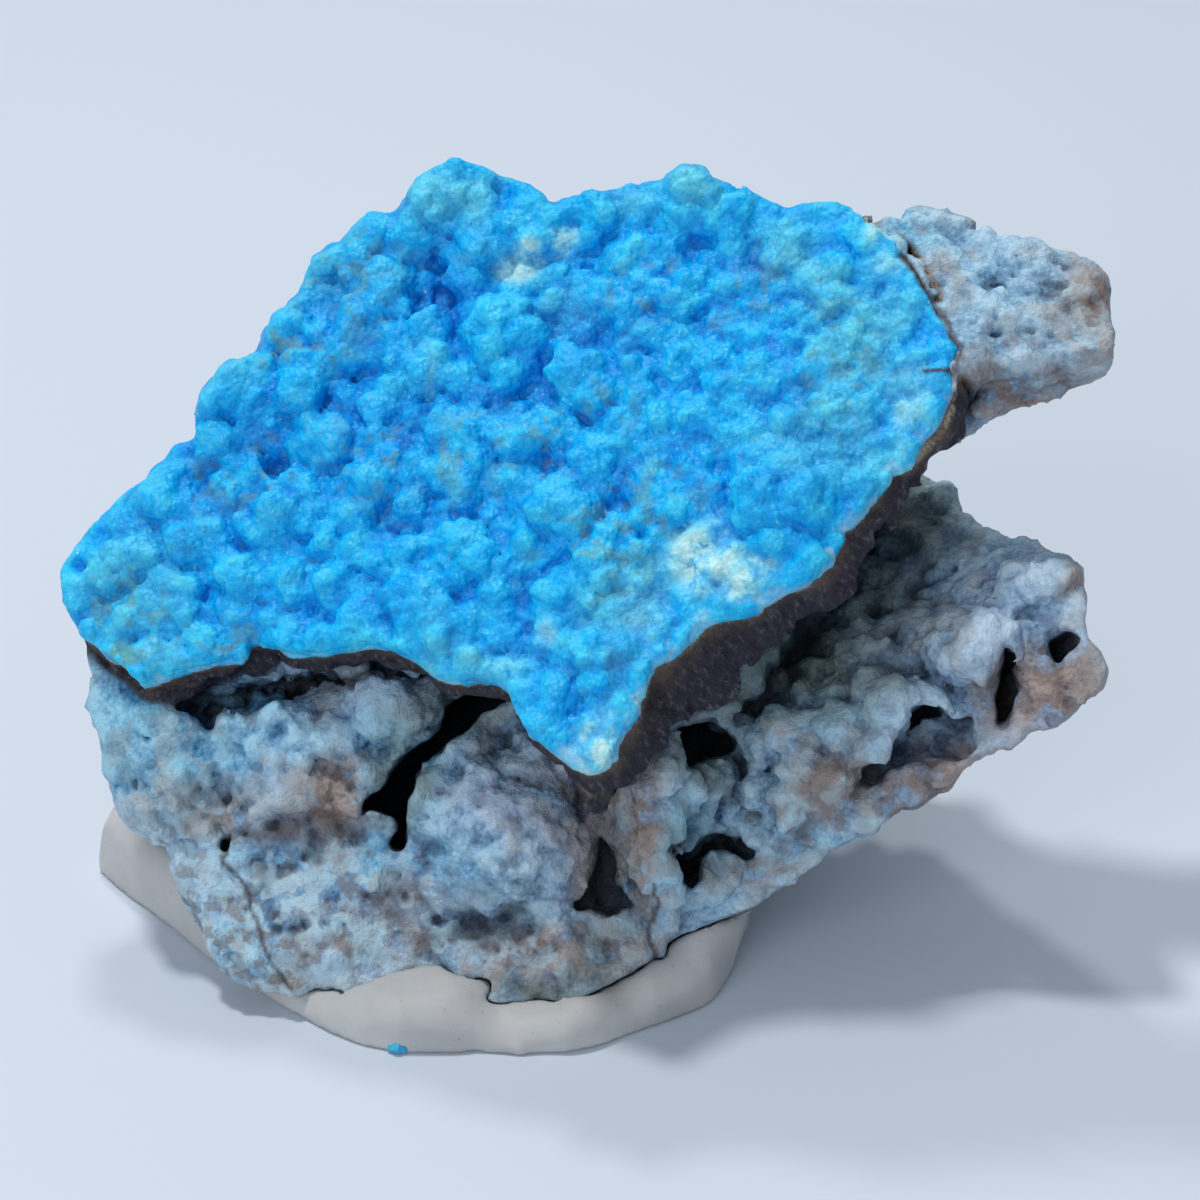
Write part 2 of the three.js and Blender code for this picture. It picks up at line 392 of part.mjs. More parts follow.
// ------------------------------------------------- a field's surface as a mesh
// Marching tetrahedra over a box of cubes, six to a cube: the surface is always closed.
function surfaceOf(field, lo, hi, cell) {
  const n = [0, 1, 2].map((i) => Math.ceil((hi[i] - lo[i]) / cell) + 1);
  const val = new Float64Array(n[0] * n[1] * n[2]);
  const at = (i, j, k) => (k * n[1] + j) * n[0] + i;
  for (let k = 0; k < n[2]; k++)
    for (let j = 0; j < n[1]; j++)
      for (let i = 0; i < n[0]; i++) {
        const edge = !i || !j || !k || i === n[0] - 1 || j === n[1] - 1 || k === n[2] - 1;
        let f = edge ? 1 : field(lo[0] + i * cell, lo[1] + j * cell, lo[2] + k * cell);
        if (Math.abs(f) < 1e-3) f = f < 0 ? -1e-3 : 1e-3;
        val[at(i, j, k)] = f;
      }
  const pos = [],
    tris = [],
    made = new Map();
  const point = (a, b) => {
    const key = a < b ? a * val.length + b : b * val.length + a;
    let id = made.get(key);
    if (id === undefined) {
      const t = Math.min(0.93, Math.max(0.07, val[a] / (val[a] - val[b])));
      const ca = [a % n[0], Math.floor(a / n[0]) % n[1], Math.floor(a / (n[0] * n[1]))],
        cb = [b % n[0], Math.floor(b / n[0]) % n[1], Math.floor(b / (n[0] * n[1]))];
      id = pos.length / 3;
      for (let q = 0; q < 3; q++)
        pos.push(lo[q] + cell * (ca[q] + t * (cb[q] - ca[q])));
      made.set(key, id);
    }
    return id;
  };
  const TETS = [[0, 5, 1, 6], [0, 1, 2, 6], [0, 2, 3, 6], [0, 3, 7, 6], [0, 7, 4, 6], [0, 4, 5, 6]];
  const P = (id) => new THREE.Vector3(pos[3 * id], pos[3 * id + 1], pos[3 * id + 2]);
  const put = (a, b, c, inner) => {
    if (a === b || b === c || a === c) return;
    const A = P(a),
      N = P(b).sub(A).cross(P(c).sub(A));
    const ii = new THREE.Vector3(
      lo[0] + cell * (inner % n[0]),
      lo[1] + cell * (Math.floor(inner / n[0]) % n[1]),
      lo[2] + cell * Math.floor(inner / (n[0] * n[1])),
    );
    if (N.dot(ii.sub(A)) > 0) tris.push(a, c, b);
    else tris.push(a, b, c);
  };
  for (let k = 0; k < n[2] - 1; k++)
    for (let j = 0; j < n[1] - 1; j++)
      for (let i = 0; i < n[0] - 1; i++) {
        const c = [at(i, j, k), at(i + 1, j, k), at(i + 1, j + 1, k), at(i, j + 1, k), at(i, j, k + 1), at(i + 1, j, k + 1), at(i + 1, j + 1, k + 1), at(i, j + 1, k + 1)];
        let neg = 0;
        for (const q of c) if (val[q] < 0) neg++;
        if (!neg || neg === 8) continue;
        for (const t of TETS) {
          const v = t.map((q) => c[q]);
          const ins = v.filter((q) => val[q] < 0),
            out = v.filter((q) => val[q] >= 0);
          if (ins.length === 1)
            put(point(ins[0], out[0]), point(ins[0], out[1]), point(ins[0], out[2]), ins[0]);
          else if (ins.length === 3) {
            // the one outer corner's triangle, facing it
            const a = point(out[0], ins[0]),
              b = point(out[0], ins[1]),
              e = point(out[0], ins[2]);
            put(a, b, e, ins[0]);
          } else if (ins.length === 2) {
            const a = point(ins[0], out[0]),
              b = point(ins[0], out[1]),
              e = point(ins[1], out[1]),
              g = point(ins[1], out[0]);
            put(a, b, e, ins[0]);
            put(a, e, g, ins[1]);
          }
        }
      }
  return { pos: Float64Array.from(pos), tris: Uint32Array.from(tris) };
}

// Drops every piece but the largest, so that the solid is one body.
function largest({ pos, tris }) {
  const parent = Int32Array.from({ length: pos.length / 3 }, (_, i) => i);
  const find = (a) => {
    while (parent[a] !== a) a = parent[a] = parent[parent[a]];
    return a;
  };
  for (let i = 0; i < tris.length; i += 3) {
    parent[find(tris[i])] = find(tris[i + 1]);
    parent[find(tris[i + 1])] = find(tris[i + 2]);
  }
  const count = new Map();
  for (let i = 0; i < tris.length; i += 3) {
    const r = find(tris[i]);
    count.set(r, (count.get(r) || 0) + 1);
  }
  const top = [...count].sort((a, b) => b[1] - a[1])[0][0];
  const keep = [];
  for (let i = 0; i < tris.length; i += 3)
    if (find(tris[i]) === top) keep.push(tris[i], tris[i + 1], tris[i + 2]);
  return { pos, tris: Uint32Array.from(keep) };
}

// Thins a closed mesh by collapsing the edges that matter least to its shape.
// An edge collapses only if its ends share just its own two triangles, so the mesh stays closed.
function thin({ pos, tris }, target) {
  const nv = pos.length / 3,
    nt = tris.length / 3;
  const T = Uint32Array.from(tris),
    alive = new Uint8Array(nt).fill(1);
  const P = Float64Array.from(pos);
  const faces = Array.from({ length: nv }, () => new Set());
  for (let t = 0; t < nt; t++) for (let q = 0; q < 3; q++) faces[T[3 * t + q]].add(t);
  const Q = new Float64Array(nv * 10);
  const normal = (a, b, c) => {
    const ux = P[3 * b] - P[3 * a], uy = P[3 * b + 1] - P[3 * a + 1], uz = P[3 * b + 2] - P[3 * a + 2];
    const vx = P[3 * c] - P[3 * a], vy = P[3 * c + 1] - P[3 * a + 1], vz = P[3 * c + 2] - P[3 * a + 2];
    return [uy * vz - uz * vy, uz * vx - ux * vz, ux * vy - uy * vx];
  };
  for (let t = 0; t < nt; t++) {
    const [a, b, c] = [T[3 * t], T[3 * t + 1], T[3 * t + 2]];
    const N = normal(a, b, c),
      area = Math.hypot(...N) || 1e-12;
    const [x, y, z] = N.map((q) => q / area),
      w = -(x * P[3 * a] + y * P[3 * a + 1] + z * P[3 * a + 2]);
    const m = [x * x, x * y, x * z, x * w, y * y, y * z, y * w, z * z, z * w, w * w];
    for (const q of [a, b, c]) for (let i = 0; i < 10; i++) Q[q * 10 + i] += m[i] * area * 0.5;
  }
  const cost = (a, b) => {
    const m = new Float64Array(10);
    for (let i = 0; i < 10; i++) m[i] = Q[a * 10 + i] + Q[b * 10 + i];
    const f = (x, y, z) =>
      m[0] * x * x + 2 * m[1] * x * y + 2 * m[2] * x * z + 2 * m[3] * x + m[4] * y * y + 2 * m[5] * y * z + 2 * m[6] * y + m[7] * z * z + 2 * m[8] * z + m[9];
    const A = [P[3 * a], P[3 * a + 1], P[3 * a + 2]],
      B = [P[3 * b], P[3 * b + 1], P[3 * b + 2]],
      M = A.map((q, i) => (q + B[i]) / 2);
    let best = M,
      e = f(...M);
    // the place where the planes meet, if it is well defined and near
    const det = m[0] * (m[4] * m[7] - m[5] * m[5]) - m[1] * (m[1] * m[7] - m[5] * m[2]) + m[2] * (m[1] * m[5] - m[4] * m[2]);
    if (Math.abs(det) > 1e-7) {
      const r = [-m[3], -m[6], -m[8]];
      const X = [
        (r[0] * (m[4] * m[7] - m[5] * m[5]) - m[1] * (r[1] * m[7] - m[5] * r[2]) + m[2] * (r[1] * m[5] - m[4] * r[2])) / det,
        (m[0] * (r[1] * m[7] - m[5] * r[2]) - r[0] * (m[1] * m[7] - m[5] * m[2]) + m[2] * (m[1] * r[2] - r[1] * m[2])) / det,
        (m[0] * (m[4] * r[2] - r[1] * m[5]) - m[1] * (m[1] * r[2] - r[1] * m[2]) + r[0] * (m[1] * m[5] - m[4] * m[2])) / det,
      ];
      const L = Math.hypot(A[0] - B[0], A[1] - B[1], A[2] - B[2]);
      if (Math.hypot(X[0] - M[0], X[1] - M[1], X[2] - M[2]) < 1.5 * L) {
        const g = f(...X);
        if (g < e) (best = X), (e = g);
      }
    }
    const L2 = (A[0] - B[0]) ** 2 + (A[1] - B[1]) ** 2 + (A[2] - B[2]) ** 2;
    return [Math.max(e, 0) + 1e-5 * L2, best];
  };
  // a heap of [cost, a, b, version]
  const version = new Uint32Array(nv),
    heap = [];
  const up = (i) => {
    while (i) {
      const p = (i - 1) >> 1;
      if (heap[p][0] <= heap[i][0]) break;
      [heap[p], heap[i]] = [heap[i], heap[p]];
      i = p;
    }
  };
  const pop = () => {
    const top = heap[0],
      last = heap.pop();
    if (heap.length) {
      heap[0] = last;
      for (let i = 0; ; ) {
        let c = 2 * i + 1;
        if (c >= heap.length) break;
        if (c + 1 < heap.length && heap[c + 1][0] < heap[c][0]) c++;
        if (heap[i][0] <= heap[c][0]) break;
        [heap[i], heap[c]] = [heap[c], heap[i]];
        i = c;
      }
    }
    return top;
  };
  const push = (a, b) => {
    const [e, p] = cost(a, b);
    heap.push([e, a, b, version[a], version[b], p]);
    up(heap.length - 1);
  };
  const ring = (a) => {
    const s = new Set();
    for (const t of faces[a]) for (let q = 0; q < 3; q++) if (T[3 * t + q] !== a) s.add(T[3 * t + q]);
    return s;
  };
  for (let t = 0; t < nt; t++)
    for (let q = 0; q < 3; q++) {
      const a = T[3 * t + q],
        b = T[3 * t + ((q + 1) % 3)];
      if (a < b) push(a, b);
    }
  let left = nt;
  while (left > target && heap.length) {
    const [, a, b, va, vb, p] = pop();
    if (version[a] !== va || version[b] !== vb || !faces[a].size || !faces[b].size) continue;
    const shared = [...faces[a]].filter((t) => faces[b].has(t));
    if (shared.length !== 2) continue;
    const ra = ring(a),
      rb = ring(b);
    let common = 0;
    for (const q of ra) if (rb.has(q)) common++;
    if (common !== 2) continue;
    // no face may turn over or fold sharply
    let ok = true;
    for (const [own, other] of [[a, b], [b, a]])
      for (const t of faces[own]) {
        if (faces[other].has(t)) continue;
        const v = [T[3 * t], T[3 * t + 1], T[3 * t + 2]];
        const N0 = normal(...v);
        const save = [P[3 * own], P[3 * own + 1], P[3 * own + 2]];
        for (let q = 0; q < 3; q++) P[3 * own + q] = p[q];
        const N1 = normal(...v);
        for (let q = 0; q < 3; q++) P[3 * own + q] = save[q];
        const dot = N0[0] * N1[0] + N0[1] * N1[1] + N0[2] * N1[2],
          l0 = Math.hypot(...N0),
          l1 = Math.hypot(...N1);
        if (l1 < 1e-4 || dot < 0.25 * l0 * l1) ok = false;
      }
    if (!ok) continue;
    for (let q = 0; q < 3; q++) P[3 * a + q] = p[q];
    for (let i = 0; i < 10; i++) Q[a * 10 + i] += Q[b * 10 + i];
    for (const t of shared) {
      alive[t] = 0;
      left--;
      for (let q = 0; q < 3; q++) faces[T[3 * t + q]].delete(t);
    }
    for (const t of faces[b]) {
      for (let q = 0; q < 3; q++) if (T[3 * t + q] === b) T[3 * t + q] = a;
      faces[a].add(t);
    }
    faces[b].clear();
    version[a]++;
    version[b]++;
    for (const q of ring(a)) push(Math.min(a, q), Math.max(a, q));
  }
  const keep = [];
  for (let t = 0; t < nt; t++) if (alive[t]) keep.push(T[3 * t], T[3 * t + 1], T[3 * t + 2]);
  return { pos: P, tris: Uint32Array.from(keep) };
}

function geometryOf({ pos, tris }) {
  const g = new THREE.BufferGeometry();
  g.setAttribute("position", new THREE.BufferAttribute(Float32Array.from(pos), 3));
  g.setIndex(new THREE.BufferAttribute(tris, 1));
  const flat = g.toNonIndexed(); // drops the vertices that no face uses
  const merged = mergeVertices(new THREE.BufferGeometry().setAttribute("position", flat.getAttribute("position")), 1e-4);
  merged.computeVertexNormals();
  return merged;
}

// ------------------------------------------------------------------- the parts
const stoneGeometry = geometryOf(
  thin(largest(surfaceOf(stoneDistance, [-44, -26, -2], [40, 24, 58], STONE_CELL)), STONE_TRIANGLES),
);

const wasm = await Module();
wasm.setup();
function solid(geometry) {
  const g = geometry.index ? geometry.toNonIndexed() : geometry;
  const m = mergeVertices(new THREE.BufferGeometry().setAttribute("position", g.getAttribute("position")), 1e-4);
  return new wasm.Manifold(
    new wasm.Mesh({
      numProp: 3,
      vertProperties: Float32Array.from(m.getAttribute("position").array),
      triVerts: Uint32Array.from(m.index.array),
    }),
  );
}
// The putty is flat where it sits on the table: what reaches below z = 0 is cut off.
const puttyLump = solid(
  geometryOf(thin(largest(surfaceOf(puttyDistance, [-42, -27, -3], [16, 18, 14], PUTTY_CELL)), PUTTY_TRIANGLES)),
);
const below = solid(new THREE.BoxGeometry(120, 120, 20).translate(0, 0, -10));
const puttyCut = puttyLump.subtract(below).getMesh();
const puttyGeometry = new THREE.BufferGeometry();
{
  const n = puttyCut.numProp,
    v = new Float32Array(puttyCut.numVert * 3);
  for (let i = 0; i < puttyCut.numVert; i++)
    v.set(puttyCut.vertProperties.subarray(i * n, i * n + 3), i * 3);
  puttyGeometry.setAttribute("position", new THREE.BufferAttribute(v, 3));
  puttyGeometry.setIndex(new THREE.BufferAttribute(Uint32Array.from(puttyCut.triVerts), 1));
  puttyGeometry.computeVertexNormals();
}

const specimen = new THREE.Group();
const stone = new THREE.Mesh(
  stoneGeometry,
  new THREE.MeshStandardMaterial({ color: 0x4f9fc4, roughness: 0.55, metalness: 0 }),
);
stone.name = "allophane_specimen";
const putty = new THREE.Mesh(
  puttyGeometry,
  new THREE.MeshStandardMaterial({ color: 0xd6d2c8, roughness: 0.8, metalness: 0 }),
);
putty.name = "mounting_putty";
specimen.add(stone, putty);

export default specimen;
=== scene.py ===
import math
import time

import bpy
import mathutils
import numpy as np
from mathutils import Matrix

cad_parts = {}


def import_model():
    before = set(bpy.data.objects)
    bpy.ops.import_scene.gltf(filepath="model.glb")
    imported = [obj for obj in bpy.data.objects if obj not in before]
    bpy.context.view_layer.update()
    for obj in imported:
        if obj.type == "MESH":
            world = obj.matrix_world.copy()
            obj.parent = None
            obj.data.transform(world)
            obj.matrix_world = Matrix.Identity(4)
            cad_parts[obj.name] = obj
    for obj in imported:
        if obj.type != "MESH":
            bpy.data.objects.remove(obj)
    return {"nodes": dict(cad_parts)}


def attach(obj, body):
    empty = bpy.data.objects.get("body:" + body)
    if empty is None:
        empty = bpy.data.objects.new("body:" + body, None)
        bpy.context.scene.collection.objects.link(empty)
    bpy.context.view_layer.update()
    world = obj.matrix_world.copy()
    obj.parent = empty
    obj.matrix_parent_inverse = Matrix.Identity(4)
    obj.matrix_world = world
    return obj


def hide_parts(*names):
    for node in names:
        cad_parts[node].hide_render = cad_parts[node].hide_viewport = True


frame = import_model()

import openvdb as vdb

for name in ("Cube", "Light", "Camera"):
    if name in bpy.data.objects:
        bpy.data.objects.remove(bpy.data.objects[name])
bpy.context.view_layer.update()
T0 = time.time()
rng = np.random.default_rng(20417)
CELL = 0.30  # mm

# ------------------------------------------------------------------ the shapes
# Millimetres. A place (x, y, d) is in the display view: x and y in outline
# units, right and down, and d in mm beyond the plate's front tip.
EL = math.radians(27.0)
SE, CE = math.sin(EL), math.cos(EL)
SCALE, DIST = 2805.0, 187.0
CENTRE = (0.0, -14.86, 31.7)
BASE_Z = 1.5

SILHOUETTE = [
    (63, 576), (71, 559), (87, 539), (119, 503), (150, 480), (178, 448), (198, 440), (202, 393), (225, 369), (257, 353), (277, 317), (300, 298),
    (316, 258), (348, 238), (372, 215), (391, 217), (403, 213), (411, 188), (424, 179), (435, 165), (451, 159), (462, 161), (487, 171), (514, 183),
    (529, 190), (552, 209), (571, 203), (595, 191), (619, 195), (634, 187), (662, 183), (678, 167), (698, 169), (717, 185), (737, 185), (757, 199),
    (785, 209), (816, 205), (848, 205), (860, 218), (889, 211), (898, 204), (919, 199), (934, 199), (946, 204), (953, 212), (963, 216), (981, 223),
    (994, 230), (999, 240), (1015, 237), (1025, 240), (1049, 243), (1068, 245), (1086, 250), (1096, 262), (1105, 271), (1113, 274), (1117, 286), (1111, 297),
    (1111, 321), (1116, 333), (1113, 354), (1110, 369), (1096, 381), (1086, 395), (1067, 400), (1053, 404), (1036, 412), (1025, 421), (1008, 424), (996, 436),
    (981, 438), (965, 447), (946, 450), (932, 453), (927, 460), (928, 473), (935, 480), (954, 481), (960, 498), (975, 517), (983, 525), (998, 527),
    (1004, 534), (1023, 534), (1038, 540), (1046, 550), (1067, 555), (1078, 563), (1081, 580), (1088, 595), (1088, 607), (1085, 620), (1089, 639), (1101, 651),
    (1110, 670), (1105, 689), (1095, 702), (1082, 715), (1071, 727), (1059, 744), (1042, 753), (1025, 757), (1010, 776), (989, 786), (973, 787), (929, 806),
    (893, 828), (857, 850), (830, 873), (786, 895), (759, 911), (732, 917), (705, 926), (679, 937), (669, 942), (663, 957), (654, 961), (618, 981),
    (594, 993), (570, 1005), (545, 1015), (521, 1013), (497, 1004), (478, 999), (461, 994), (441, 991), (419, 992), (400, 996), (383, 998), (349, 1000),
    (320, 1003), (301, 1008), (282, 1010), (249, 1006), (234, 997), (222, 977), (209, 955), (196, 941), (182, 924), (169, 912), (161, 897), (161, 874),
    (152, 861), (138, 842), (129, 824), (119, 807), (115, 790), (109, 775), (105, 747), (102, 731), (94, 716), (90, 705), (94, 685), (88, 664),
    (79, 628), (69, 603),
]
# The blue plate lies on the plane d = a u + b (v - v0).
PLATE_A, PLATE_B, PLATE_V0, PLATE_THICK = -0.32, 0.42, -11.333, 3.4
PLATE_RIM = [
    (63, 576), (69, 603), (79, 628), (98, 643), (113, 655), (130, 664), (146, 682), (165, 678), (176, 670), (213, 662), (241, 659), (251, 649),
    (270, 641), (289, 650), (318, 652), (350, 647), (374, 642), (397, 648), (416, 657), (433, 671), (452, 681), (475, 678), (502, 681), (514, 692),
    (521, 711), (533, 730), (554, 747), (577, 766), (592, 771), (607, 762), (620, 732), (635, 715), (641, 695), (647, 674), (656, 661), (676, 651),
    (696, 625), (750, 609), (803, 582), (830, 560), (848, 527), (880, 487), (915, 452), (939, 428), (955, 389), (951, 373), (961, 353), (947, 333),
    (935, 310), (923, 286), (911, 266), (895, 250), (870, 232), (840, 222), (800, 224), (745, 226), (700, 226), (650, 232), (600, 238), (560, 242),
    (520, 236), (470, 232), (430, 240), (395, 262), (350, 292), (320, 322), (290, 356), (250, 400), (228, 440), (215, 470), (180, 490), (150, 508),
    (119, 530), (92, 556),
]
BLOCK = dict(
    inside=(420, 700, 24),
    faces=[
        ((150, 700, 14), (300, 1000, 10.6), (600, 1000, 9.4)),
        ((655, 770, 5.5), (660, 960, 12.4), (900, 500, 25)),
        ((85, 700, 14.5), (232, 1000, 11.5), (120, 700, 32)),
    ],
    halfspaces=[
        (0.05, 0.985, -0.165, 9.6),
        (0, 0, -1, -1.6),
        (-0.55, 0.8, 0.1, 22.5),
        (0.62, 0.78, 0, 16.5),
        (-0.86, 0.35, -0.37, 25.6),
        (0.55, 0.3, -0.78, 4.2),
    ],
)
SHELF = dict(
    inside=(900, 720, 14),
    faces=[
        ((760, 735, 13.2), (1080, 612, 6), (950, 494, 19.6)),
        ((700, 900, 12.6), (900, 800, 8.6), (800, 750, 12.2)),
        ((660, 962, 12.8), (1105, 692, 5), (900, 790, 24)),
        ((952, 488, 20.5), (1082, 590, 11.5), (1000, 690, 24)),
        ((1112, 660, 6), (1085, 600, 10), (1085, 690, 16)),
    ],
    halfspaces=[
        (-0.3, 0.95, 0, 6.4),
        (0.6, 0.06, -1, -0.04),
    ],
)
ARM = dict(
    inside=(1010, 320, 8),
    faces=[
        ((905, 300, 5), (1100, 330, 3.6), (940, 203, 11)),
        ((979, 391, 4.2), (1110, 364, 3.2), (1036, 412, 7.5)),
        ((1084, 255, 9), (1114, 300, 6), (1110, 330, 12)),
        ((932, 453, 8), (1096, 381, 7), (1000, 380, 16)),
    ],
    halfspaces=[
        (0.1, 0.97, 0.22, 18.6),
        (-1, 0, 0, -7),
    ],
)
# lobes of the crust: x, y, radius, rise
CRUST = [
    (455, 205, 4.6, 3.4), (490, 240, 3.6, 2.6), (545, 235, 3.6, 2.6), (408, 250, 3.4, 2.6), (365, 262, 3.6, 3), (330, 300, 3.6, 2.8),
    (385, 300, 3.2, 2.6), (350, 350, 3.6, 2.6), (300, 345, 3.4, 2.6), (240, 405, 4.2, 3.2), (225, 440, 3.2, 2.8), (300, 400, 3.8, 2.4),
    (425, 360, 3.4, 2.2), (395, 405, 3.4, 1.8), (345, 440, 3.4, 1.8), (310, 450, 2.6, 1.6), (505, 335, 4.2, 2.2), (480, 300, 2.6, 1.6),
    (545, 290, 2.8, 1.2), (575, 250, 2.6, 1.6), (600, 225, 3.2, 2), (650, 215, 3.2, 2.2), (690, 205, 3.4, 2.6), (735, 225, 3, 1.6),
    (640, 265, 3.4, 1.6), (690, 290, 3.6, 1.6), (635, 320, 3.2, 1.4), (590, 385, 3.6, 1.8), (640, 400, 3.2, 1.2), (545, 345, 2.4, 1),
    (480, 400, 3, 1.4), (460, 455, 3.8, 1.8), (520, 450, 3.2, 1.4), (400, 480, 3.6, 1.8), (350, 510, 3.6, 1.6), (290, 520, 3.6, 1.8),
    (240, 500, 3.2, 1.4), (170, 510, 3.8, 2.6), (200, 545, 3.4, 1.6), (140, 560, 3.4, 2), (110, 590, 2.8, 1.2), (180, 600, 3.4, 1.2),
    (250, 590, 3.4, 1), (320, 590, 3.2, 1.2), (390, 570, 3.4, 1.6), (430, 610, 3, 1.6), (480, 560, 3.4, 1.4), (500, 640, 2.8, 0.8),
    (560, 520, 3.6, 1.6), (600, 470, 3.4, 1.2), (560, 600, 3.2, 1), (620, 560, 3.4, 1.2), (660, 500, 3.4, 1.2), (700, 430, 3.4, 1.2),
    (760, 380, 3.6, 1.4), (720, 350, 3.2, 1.2), (790, 300, 3.2, 1), (830, 280, 3, 0.8), (840, 340, 3.4, 1), (890, 320, 3, 0.6),
    (880, 390, 3.2, 0.8), (820, 420, 3.4, 1), (785, 500, 4.3, 2.6), (740, 560, 3, 0.8), (690, 600, 2.6, 0.6), (600, 660, 3.2, 0.8),
    (560, 690, 2.6, 0.6), (600, 730, 2.4, 0.5), (760, 455, 2.6, 0.8), (680, 360, 2.8, 0.8), (560, 400, 2.4, 0.6), (790, 245, 2.8, 0.8),
    (850, 235, 2.4, 0.6), (660, 440, 3, 0.8), (540, 565, 2.4, 0.6), (270, 440, 2.4, 1.4), (255, 470, 2.2, 1.2),
]
# lumps: x, y, d, half width, half height, half depth, blend
LUMPS = [
    (506, 832, 13.2, 6.9, 6, 5.4, 1.8), (450, 800, 14.6, 3.2, 3.6, 3.4, 1.2), (455, 868, 13.8, 4.4, 4.2, 3.8, 1.4),
    (560, 880, 13.2, 3.4, 3.6, 3.4, 1), (545, 772, 13.4, 3.6, 3.2, 3.4, 1), (290, 722, 15, 4.6, 3, 2.8, 1),
    (350, 735, 14.2, 3, 3.4, 2.6, 1), (392, 705, 13, 3.4, 2.2, 2.8, 0.8), (300, 800, 13.6, 4.6, 2.6, 2.2, 1.4),
    (540, 965, 11.4, 7, 2.6, 2.6, 1.2), (632, 925, 13.4, 2.4, 3.4, 2.6, 1), (300, 930, 12.6, 6, 4, 2.4, 1.6),
    (700, 880, 14.8, 4.4, 3, 3, 1), (760, 745, 15.4, 4, 1.3, 3, 0.6), (705, 800, 15.8, 2, 2.2, 2.4, 0.6),
    (815, 790, 12.2, 2.8, 3.6, 2.6, 0.8), (905, 700, 10.2, 3.8, 1.6, 3.2, 0.6), (980, 648, 9.4, 4.2, 2.6, 3.8, 0.6),
    (1040, 588, 10.6, 3.2, 2.2, 3.4, 0.8), (1055, 680, 8, 2.6, 2.8, 2.8, 0.6), (945, 505, 21.4, 1.6, 2.2, 2.2, 0.8),
    (880, 560, 23.6, 3.8, 3.8, 3, 1.2), (935, 224, 11.2, 2.6, 1.3, 2.4, 0.8), (1012, 262, 9.8, 4.2, 1.9, 2.6, 0.8),
    (1086, 300, 7.2, 2.2, 3, 2.4, 0.8), (190, 765, 15.2, 2.3, 2.4, 2.2, 0.6), (240, 775, 14.4, 1.7, 1.7, 1.7, 0.5),
    (150, 722, 15.6, 2.6, 2.2, 2.2, 0.7), (118, 765, 16.4, 1.9, 2.2, 2.2, 0.7), (135, 800, 16, 2.2, 2.6, 2.2, 0.9),
    (290, 760, 14.2, 2.6, 3.4, 2.2, 1), (250, 810, 14.6, 2, 1.4, 1.8, 0.6), (665, 770, 9.4, 1.5, 2.6, 2.2, 0.6),
    (672, 795, 9.8, 1.1, 1.4, 1.8, 0.5), (715, 782, 15, 1.8, 1.3, 2.4, 0.5), (760, 790, 14.6, 2.6, 1.4, 2.8, 0.6),
    (690, 825, 14.4, 1.9, 1.3, 2.4, 0.5), (732, 692, 14.4, 1.4, 1.2, 1.8, 0.4), (870, 742, 9.6, 1.6, 1.3, 2, 0.4),
    (850, 725, 10.6, 1.9, 1.4, 2.2, 0.5), (1075, 565, 10.4, 1.2, 1.8, 2, 0.6), (800, 740, 12.8, 2.8, 1.9, 2.6, 0.8),
    (830, 790, 11.4, 1.9, 2.9, 2.4, 0.7),
]
# ridges: x, y, d, x, y, d, radius, radius, blend
RIDGES = [
    (652, 772, 6.6, 662, 958, 12.6, 1.1, 1.3, 0.9), (640, 782, 8.2, 636, 850, 11.2, 1.6, 1.9, 1),
    (622, 955, 12.2, 470, 1000, 10.2, 1.2, 1.4, 1),
]
# openings: the d they reach, and their outline
CLEFTS = [
    (21, [(500, 683), (508, 700), (498, 709), (485, 712), (478, 716), (470, 728), (456, 740), (440, 752), (425, 764), (417, 775), (415, 790), (410, 800), (408, 815), (405, 830), (404, 848), (396, 850), (390, 843), (398, 830), (397, 820), (385, 814), (370, 810), (362, 816), (362, 806), (368, 795), (380, 790), (388, 775), (398, 762), (408, 750), (420, 742), (432, 738), (440, 728), (442, 715), (446, 703), (462, 697), (470, 688), (480, 684)]),
    (18, [(672, 728), (685, 722), (700, 716), (716, 712), (722, 722), (740, 735), (742, 748), (738, 758), (720, 765), (700, 768), (685, 775), (684, 790), (680, 785), (681, 760), (676, 745), (668, 738)]),
    (15.5, [(664, 810), (690, 798), (712, 800), (735, 788), (738, 797), (720, 803), (705, 808), (690, 812), (675, 816)]),
    (16.5, [(656, 840), (665, 836), (675, 842), (682, 850), (692, 842), (700, 832), (715, 826), (735, 833), (745, 842), (757, 848), (750, 856), (735, 858), (715, 855), (708, 862), (705, 880), (700, 893), (690, 893), (680, 886), (675, 870), (672, 862), (665, 852), (658, 850)]),
    (11.6, [(858, 762), (870, 757), (884, 758), (889, 742), (898, 732), (905, 720), (904, 706), (922, 698), (938, 706), (943, 713), (960, 721), (970, 716), (974, 735), (974, 752), (960, 760), (935, 762), (910, 765), (890, 772), (875, 785), (862, 786), (855, 775)]),
    (14, [(886, 752), (889, 742), (898, 732), (905, 720), (906, 707), (922, 698), (938, 706), (943, 714), (930, 722), (915, 732), (900, 745)]),
    (11.5, [(998, 640), (1012, 650), (1019, 655), (1012, 668), (1016, 685), (1014, 705), (1006, 722), (998, 722), (996, 705), (999, 680), (1001, 660)]),
    (11, [(1048, 642), (1060, 640), (1068, 634), (1080, 640), (1075, 650), (1066, 655), (1058, 662), (1052, 655)]),
    (17.5, [(165, 705), (180, 700), (200, 690), (230, 680), (262, 675), (285, 683), (320, 683), (322, 690), (300, 700), (280, 705), (262, 712), (250, 718), (222, 720), (217, 735), (205, 737), (198, 728), (190, 722), (175, 714)]),
    (12.4, [(601, 835), (607, 850), (613, 878), (628, 905), (604, 916), (572, 907), (587, 885), (600, 862)]),
]
